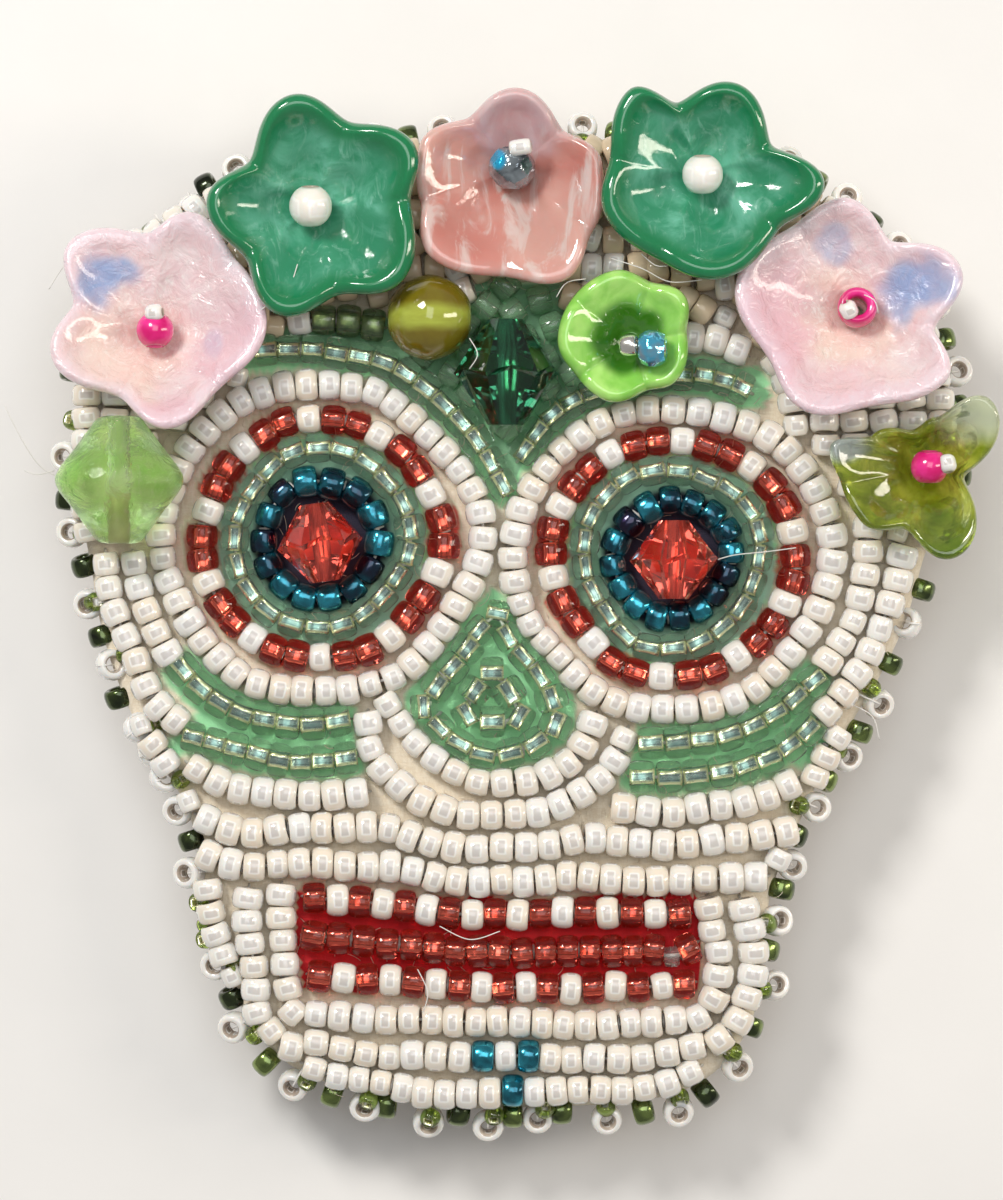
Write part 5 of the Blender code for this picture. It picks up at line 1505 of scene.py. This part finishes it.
# the part of the edging under the flowers, which carries on the same way
_path = smooth_line(_edge_line, 35 / 15, True)
_seen = np.array([at(x, y) for _, x, y in EDGE])
_fill = 0
for q in _path:
    if np.linalg.norm(_seen - q, axis=1).min() > 1.9:
        EDGE.append(("W" if _fill % 2 else "D", q[0] * 15 + CENTRE_X, CENTRE_Y - q[1] * 15))
        if _fill % 2:
            inward = q + (offset_loop(RIM, 0.1)[np.linalg.norm(offset_loop(RIM, 0.1) - q, axis=1).argmin()] - q)
            EDGE.append(("g", inward[0] * 15 + CENTRE_X, CENTRE_Y - inward[1] * 15))
        _fill += 1

edge_build, edge_mats = Build(), []
edge_threads = Build()
for kind, x, y in EDGE:
    p = at(x, y)
    k = np.linalg.norm(RIM - p, axis=1).argmin()
    rim_p = RIM[k]
    tangent = RIM[(k + 1) % len(RIM)] - RIM[k - 1]
    tangent /= np.linalg.norm(tangent)
    out_dir = np.array([tangent[1], -tangent[0]])
    if out_dir.dot(p - rim_p) < 0 and np.linalg.norm(p - rim_p) > 0.3:
        out_dir = -out_dir
    if kind == "W":
        z = 6.9 + rng.uniform(-0.15, 0.25)
        axis = (out_dir[0] * 0.35, out_dir[1] * 0.35, 1.0)
        put_bead(edge_build, edge_mats, "E", (p[0], p[1], z), axis, 0.70, 1.06, 0.16,
                 up=(tangent[0], tangent[1], 0.01))
    elif kind == "D":
        z = 6.60 + rng.uniform(-0.2, 0.2)
        p = p - out_dir * 0.35
        put_bead(edge_build, edge_mats, "D", (p[0], p[1], z), (tangent[0], tangent[1], 0.1), 0.66, 0.98, 0.2)
    else:
        z = 7.75 + rng.uniform(-0.1, 0.15)
        axis = (out_dir[0] * 0.8, out_dir[1] * 0.8, 0.8)
        put_bead(edge_build, edge_mats, "g", (p[0], p[1], z), axis, 0.46, 0.66, 0.25,
                 up=(tangent[0], tangent[1], 0.01))
    if kind == "W":
        start = rim_p - out_dir * 0.9
        arc = []
        for t in np.linspace(0, 1, 12):
            a = math.pi * t
            q = start + (p - start) * (0.5 - 0.5 * math.cos(a)) * 1.05
            arc.append([q[0], q[1], FELT_TOP + 0.10 - 0.4 * t + 0.38 * math.sin(a)])
        edge_threads.add(*tube_shape(arc, 0.08, 6), 0)
edge_build.piece("beads_edging", edge_mats, nodes=["edge_beading"], slot=SLOT_OF["edge_beading"])
edge_threads.piece("edging_thread", [M_THREAD])

# ---------------------------------------------------------------- cloth layers
from mathutils.geometry import delaunay_2d_cdt


def slab(name, loop, low, high, spacing, relief, rounding, mats, holes=(), tint=None, **more):
    """A cloth layer: a triangulated outline with wavy faces and soft cut edges."""
    lo, hi = loop.min(0), loop.max(0)
    gx, gy = np.meshgrid(np.arange(lo[0], hi[0], spacing), np.arange(lo[1], hi[1], spacing * 0.866))
    gx = gx + (np.arange(gx.shape[0])[:, None] % 2) * spacing / 2
    grid = np.stack([gx.ravel(), gy.ravel()], 1)
    grid += np.random.default_rng(5).uniform(-0.12, 0.12, grid.shape) * spacing
    grid = grid[inside_loop(grid, offset_loop(loop, -spacing * 0.6))]
    for hole in holes:
        grid = grid[~inside_loop(grid, offset_loop(hole, spacing * 0.6))]
    edges, pts = [], []
    for line in [loop] + list(holes):
        n0 = len(pts)
        pts += [tuple(p) for p in line]
        edges += [(n0 + k, n0 + (k + 1) % len(line)) for k in range(len(line))]
    pts += [tuple(p) for p in grid]
    verts, _, faces, *_ = delaunay_2d_cdt([Vector(p) for p in pts], edges, [], 0, 1e-5)
    flat = np.array([tuple(v) for v in verts])
    tri = np.array([f for f in faces if len(f) == 3])
    mid = flat[tri].mean(1)
    keep = inside_loop(mid, loop)
    for hole in holes:
        keep &= ~inside_loop(mid, hole)
    tri = tri[keep]
    e1, e2 = flat[tri[:, 1]] - flat[tri[:, 0]], flat[tri[:, 2]] - flat[tri[:, 0]]
    turned_over = e1[:, 0] * e2[:, 1] - e1[:, 1] * e2[:, 0] < 0
    tri[turned_over] = tri[turned_over][:, ::-1]
    n = len(flat)
    near = np.full(n, 9.0)
    for line in [loop] + list(holes):
        for k in range(0, n, 4000):
            near[k:k + 4000] = np.minimum(
                near[k:k + 4000], np.linalg.norm(flat[k:k + 4000, None] - line[None], axis=2).min(1))
    drop = rounding * (1 - np.clip(near / rounding, 0, 1)) ** 2 * 0.8
    bumps = np.array([noise.noise(Vector((p[0] * 0.9, p[1] * 0.9, low))) * 0.6
                      + noise.noise(Vector((p[0] * 2.6, p[1] * 2.6, high))) * 0.4 for p in flat])
    top = np.concatenate([flat, (high + relief * bumps - drop)[:, None]], 1)
    bottom = np.concatenate([flat, (low + relief * 0.6 * bumps + drop * 0.6)[:, None]], 1)
    # boundary edges of the top, to wall in
    directed = np.concatenate([tri[:, [0, 1]], tri[:, [1, 2]], tri[:, [2, 0]]])
    have = {(int(a), int(b)) for a, b in directed}
    border = [(a, b) for a, b in have if (b, a) not in have]
    walls, extra = [], []
    mids = {}
    for a, b in border:
        for v in (a, b):
            if v not in mids:
                j = 0.10 * rounding * noise.noise(Vector((flat[v][0] * 2, flat[v][1] * 2, 9)))
                mids[v] = 2 * n + len(extra)
                m = (top[v] + bottom[v]) / 2
                extra.append([m[0] + j, m[1] + j, m[2]])
    for a, b in border:
        ma, mb = mids[a], mids[b]
        walls += [(b, a, ma), (b, ma, mb), (mb, ma, a + n), (mb, a + n, b + n)]
    all_tris = np.concatenate([tri, tri[:, ::-1] + n, np.array(walls)])
    if tint:
        colour, cover = tint(flat)
        tail = len(extra)
        more["attrs"] = {
            "tint": np.concatenate([colour, colour * 0, np.zeros((tail, 3))]),
            "cover": np.concatenate([cover, cover * 0, np.zeros(tail)])}
        fall = np.array([dome(p) for p in flat])
        top[:, 2] -= fall * 0.9
    return new_mesh(name, np.concatenate([top, bottom, np.array(extra)]), all_tris, mats, **more), \
        float(0.5 * np.abs(e1[:, 0] * e2[:, 1] - e1[:, 1] * e2[:, 0]).sum())


M_FELT, _t, _s = material("wool_felt", (0.62, 0.52, 0.38), 0.95)
_s.inputs["Sheen Weight"].default_value = 0.35
_s.inputs["Sheen Roughness"].default_value = 0.6
_f1 = noise_tex(_t, 3.2, 4, 0.7, 1.5, stretch=(1, 0.25, 1)).outputs["Fac"]
_f2 = noise_tex(_t, 3.2, 4, 0.7, 1.5, stretch=(0.25, 1, 1)).outputs["Fac"]
_big = noise_tex(_t, 0.35, 3).outputs["Fac"]
_mixed = maths(_t, "MULTIPLY", maths(_t, "ADD", _f1, _f2), 0.5)
_base = mix(_t, step(_t, _mixed, 0.38, 0.62), (0.80, 0.69, 0.52), (0.93, 0.85, 0.70))
link(_t, mix(_t, maths(_t, "MULTIPLY", _big, 0.4), _base, (0.82, 0.71, 0.54)), _s.inputs["Base Color"])
bump(_t, _s, _mixed, 0.9, 0.12)
link(_t, mix(_t, attr(_t, "cover").outputs["Fac"], _s.inputs["Base Color"].links[0].from_socket,
             mix(_t, _mixed, attr(_t, "tint").outputs["Vector"], (1.25, 1.25, 1.25), "MULTIPLY")),
     _s.inputs["Base Color"])


def felt_slab():
    """The felt: rings of its own outline, drawn in towards the middle."""
    middle = RIM.mean(0)
    steps = np.concatenate([np.linspace(1, 0.02, 86), [0.0]])
    flat = np.concatenate([middle + (RIM - middle) * f for f in steps])
    colour, cover = ground_tint(flat)
    near = np.array([RIM_TREE.find((p[0], p[1], 0))[2] for p in flat])
    soft = 0.28 * (1 - np.clip(near / 0.28, 0, 1)) ** 2 * 0.8
    bumps = np.array([noise.noise(Vector((p[0] * 0.9, p[1] * 0.9, 1))) * 0.6
                      + noise.noise(Vector((p[0] * 2.6, p[1] * 2.6, 4))) * 0.4 for p in flat])
    fall = 0.40 * (1 - np.clip(near / 3.4, 0, 1)) ** 1.5
    top = np.concatenate([flat, (FELT_TOP + 0.05 * bumps - soft - fall)[:, None]], 1)
    around = len(RIM)
    low_steps = np.linspace(0, 1, 9)
    low = np.concatenate([middle + (RIM - middle) * f for f in low_steps])
    bottom = np.concatenate([low, np.full((len(low), 1), FELT_BOTTOM + 0.02)], 1)
    side = []
    for f in (0.33, 0.66):
        j = np.array([0.06 * noise.noise(Vector((p[0] * 2, p[1] * 2, 9 + f))) for p in RIM])
        ring = middle + (RIM - middle) * (1 + j / 30)[:, None]
        side.append(np.concatenate([ring, np.full((around, 1), FELT_TOP - 0.6 - 0.55 * f)], 1))
    verts = np.concatenate([bottom, side[1], side[0], top])
    rings = len(verts) // around
    quads = outward(verts, loop_grid(rings, around)[:-around])
    extra = len(verts) - len(flat)
    return new_mesh(
        "felt_ground", verts, quads, [M_FELT],
        attrs={"tint": np.concatenate([np.zeros((extra, 3)), colour]),
               "cover": np.concatenate([np.zeros(extra), cover])},
        nodes=["foundation"], slot="felt")


_felt = felt_slab()
_felt_area = abs(0.5 * float(np.sum(RIM[:, 0] * np.roll(RIM[:, 1], -1) - np.roll(RIM[:, 0], -1) * RIM[:, 1])))

M_SUEDE, _t, _s = material("suede_backing", (0.55, 0.42, 0.30), 0.9)
_s.inputs["Sheen Weight"].default_value = 0.4
_nap = noise_tex(_t, 1.8, 5, 0.7, 0.6).outputs["Fac"]
_cloud = noise_tex(_t, 0.12, 4, 0.6, 0.8).outputs["Fac"]
_base = mix(_t, step(_t, _nap, 0.35, 0.65), (0.34, 0.25, 0.17), (0.52, 0.41, 0.30))
link(_t, mix(_t, maths(_t, "MULTIPLY", _cloud, 0.5), _base, (0.60, 0.49, 0.37)), _s.inputs["Base Color"])
bump(_t, _s, _nap, 0.6, 0.06)


def slot_loop(x, y, hw, hh, r=0.5):
    out_points = []
    for cx, cy, a0 in ((hw - r, hh - r, 0), (-hw + r, hh - r, 90), (-hw + r, -hh + r, 180), (hw - r, -hh + r, 270)):
        for k in range(5):
            a = math.radians(a0 + 22.5 * k)
            out_points.append((x + cx + r * math.cos(a), y + cy + r * math.sin(a)))
    return np.array(out_points)


PIN_Y = 10.0
_suede, _suede_area = slab(
    "suede_back", RIM, BACK_BOTTOM, BACK_TOP, 0.6, 0.05, 0.22, [M_SUEDE],
    holes=[slot_loop(-16.0, PIN_Y, 2.9, 2.3), slot_loop(15.6, PIN_Y, 2.4, 2.3)],
    nodes=["backing"], slot="suede")
for piece, area in ((_felt, _felt_area), (_suede, _suede_area)):
    size = RIM.max(0) - RIM.min(0)

# wool fibres standing off the felt
_b = Build()
fibre_rng = random.Random(77)
lo, hi = RIM.min(0), RIM.max(0)
made = 0
while made < 900:
    p = _grid[fibre_rng.randrange(len(_grid))] + np.array([fibre_rng.uniform(-0.3, 0.3), fibre_rng.uniform(-0.3, 0.3)])
    a = fibre_rng.uniform(0, 2 * math.pi)
    length = fibre_rng.uniform(0.5, 1.6)
    bend = fibre_rng.uniform(-1.5, 1.5)
    pts, q = [], p.copy()
    for k in range(7):
        f = k / 6
        pts.append([q[0], q[1], FELT_TOP - 0.05 + 0.30 * math.sin(math.pi * f) * fibre_rng.uniform(0.6, 1.0)])
        a += bend / 6
        q = q + np.array([math.cos(a), math.sin(a)]) * length / 6
    _b.add(*tube_shape(pts, 0.018, 4), 0)
    made += 1
_b.piece("felt_fibres", [M_FELT])

_b = Build()
for line, z in (
        ([(2, 405), (20, 440), (38, 466), (60, 478)], 6.6), ([(22, 470), (35, 474), (52, 470)], 6.8),
        ([(700, 566), (730, 556), (765, 552), (795, 548)], 10.1), ([(256, 320), (275, 305), (292, 290), (300, 268)], 12.9),
        ([(470, 342), (478, 358), (470, 372)], 13.6), ([(610, 262), (640, 272), (668, 285), (700, 283)], 12.2),
        ([(640, 258), (655, 270), (672, 268)], 12.6), ([(440, 925), (470, 938), (500, 930)], 10.0),
        ([(418, 968), (428, 990), (424, 1010)], 10.0), ([(556, 300), (566, 286), (585, 282)], 12.0),
        ([(95, 250), (70, 262), (50, 290)], 9.5), ([(800, 250), (786, 262), (775, 270)], 11.5),
        ([(858, 300), (868, 306), (872, 318)], 14.6), ([(846, 702), (872, 716), (880, 740)], 8.2)):
    pts = [np.array([*at(x, y), z + 0.25 * math.sin(k * 1.7)]) for k, (x, y) in enumerate(line)]
    _b.add(*tube_shape(smooth_line(pts, 0.25, False), 0.035, 5 + 1), 0)
_b.piece("stray_threads", [M_THREAD])

# ---------------------------------------------------------------- card and steel under the face
M_CARD, _t, _s = material("card", (0.62, 0.58, 0.50), 0.85)
_n = noise_tex(_t, 1.2, 4, stretch=(1, 0.3, 1)).outputs["Fac"]
link(_t, mix(_t, _n, (0.50, 0.46, 0.38), (0.72, 0.69, 0.61)), _s.inputs["Base Color"])
bump(_t, _s, _n, 0.4, 0.05)
M_STEEL, _t, _s = material("nickel_steel", (0.70, 0.69, 0.66), 0.25, 1.0)
_n = noise_tex(_t, 1.0, 4, stretch=(0.12, 1.6, 1)).outputs["Fac"]
link(_t, mix(_t, _n, (0.60, 0.58, 0.55), (0.80, 0.79, 0.77)), _s.inputs["Base Color"])
link(_t, maths(_t, "ADD", maths(_t, "MULTIPLY", _n, 0.25), 0.12), _s.inputs["Roughness"])
bump(_t, _s, _n, 0.15, 0.02)


def dress(node_name, mat):
    ob = bpy.data.objects[node_name]
    for s in ob.material_slots:
        s.link = "OBJECT"
        s.material = mat


def crisp(node_name, name, mat, body=BODY, angle=0.62):
    """A metal piece in place of its CAD node, round faces smooth and edges sharp."""
    src = bpy.data.objects[node_name]
    bm = bmesh.new()
    bm.from_mesh(src.data)
    bm.transform(src.matrix_world)
    bmesh.ops.remove_doubles(bm, verts=bm.verts, dist=2e-6)
    bmesh.ops.recalc_face_normals(bm, faces=bm.faces)
    bm.verts.index_update()
    verts = np.array([v.co for v in bm.verts]) / MM
    faces = np.array([[v.index for v in f.verts] for f in bm.faces])
    sharp = {frozenset((e.verts[0].index, e.verts[1].index)) for e in bm.edges
             if len(e.link_faces) == 2 and e.calc_face_angle(0.0) > angle}
    bm.free()
    ob = new_mesh(name, verts, faces, [mat], body=body, nodes=[node_name], slot=SLOT_OF[node_name])
    for e in ob.data.edges:
        if frozenset(e.vertices) in sharp:
            e.use_edge_sharp = True
    return ob


for ob in list(bpy.data.objects):
    if ob.name == "pin_bar":
        dress(ob.name, M_STEEL)
    elif ob.name == "stiffener":
        dress(ob.name, M_CARD)
crisp("hinge_bracket", "metal_hinge_bracket", M_STEEL)
crisp("hinge_rivet", "metal_hinge_rivet", M_STEEL)
crisp("catch_post", "metal_catch_post", M_STEEL)
crisp("pin_stem", "metal_pin_stem", M_STEEL, "stem")
crisp("catch_sleeve", "metal_catch_sleeve", M_STEEL, "sleeve")

# ---------------------------------------------------------------- stage, light and camera
M_TABLE, _t, _s = material("pale_table", (0.86, 0.85, 0.83), 0.7)
_n = noise_tex(_t, 0.08, 4).outputs["Fac"]
link(_t, mix(_t, _n, (0.80, 0.79, 0.77), (0.88, 0.87, 0.85)), _s.inputs["Base Color"])
bump(_t, _s, noise_tex(_t, 1.5, 3).outputs["Fac"], 0.1, 0.05)
bpy.ops.mesh.primitive_plane_add(size=1.6, location=(0, 0, 0))
floor = bpy.context.object
floor.name = "table_top"
floor.data.materials.append(M_TABLE)


def area_light(name, place, target, size, energy, colour, size_y=None):
    data = bpy.data.lights.new(name, "AREA")
    data.shape = "RECTANGLE" if size_y else "SQUARE"
    data.size = size
    if size_y:
        data.size_y = size_y
    data.energy = energy
    data.color = colour
    ob = bpy.data.objects.new(name, data)
    bpy.context.scene.collection.objects.link(ob)
    ob.location = place
    ob.rotation_euler = (Vector(target) - Vector(place)).to_track_quat("-Z", "Y").to_euler()
    return ob


area_light("key_softbox", (-0.17, 0.20, 0.30), (0, 0, 0.008), 0.09, 0.92, (1.0, 0.97, 0.93))
area_light("right_strip", (0.26, 0.04, 0.17), (0, 0, 0.008), 0.05, 0.34, (1.0, 0.90, 0.78), 0.22)
area_light("top_soft", (0.02, 0.10, 0.46), (0, 0, 0.008), 0.26, 0.55, (0.97, 0.98, 1.0))
world = bpy.data.worlds.new("studio")
bpy.context.scene.world = world
world.use_nodes = True
_bg = world.node_tree.nodes["Background"]
_bg.inputs[0].default_value = (0.98, 0.96, 0.94, 1)
_bg.inputs[1].default_value = 0.30

cam_data = bpy.data.cameras.new("camera")
cam = bpy.data.objects.new("camera", cam_data)
bpy.context.scene.collection.objects.link(cam)
cam.location = (-1.41 * MM, 0.87 * MM, (FELT_TOP + 1.0 + 350) * MM)
cam.rotation_euler = (0, 0, 0)
cam_data.sensor_fit = "VERTICAL"
cam_data.sensor_height = 24.0
cam_data.sensor_width = 20.07
cam_data.lens = 24.0 * 350 / 80.0
cam_data.clip_start = 0.01
cam_data.clip_end = 5.0
bpy.context.scene.camera = cam
bpy.context.scene.view_settings.view_transform = "Standard"
bpy.context.scene.view_settings.look = "None"
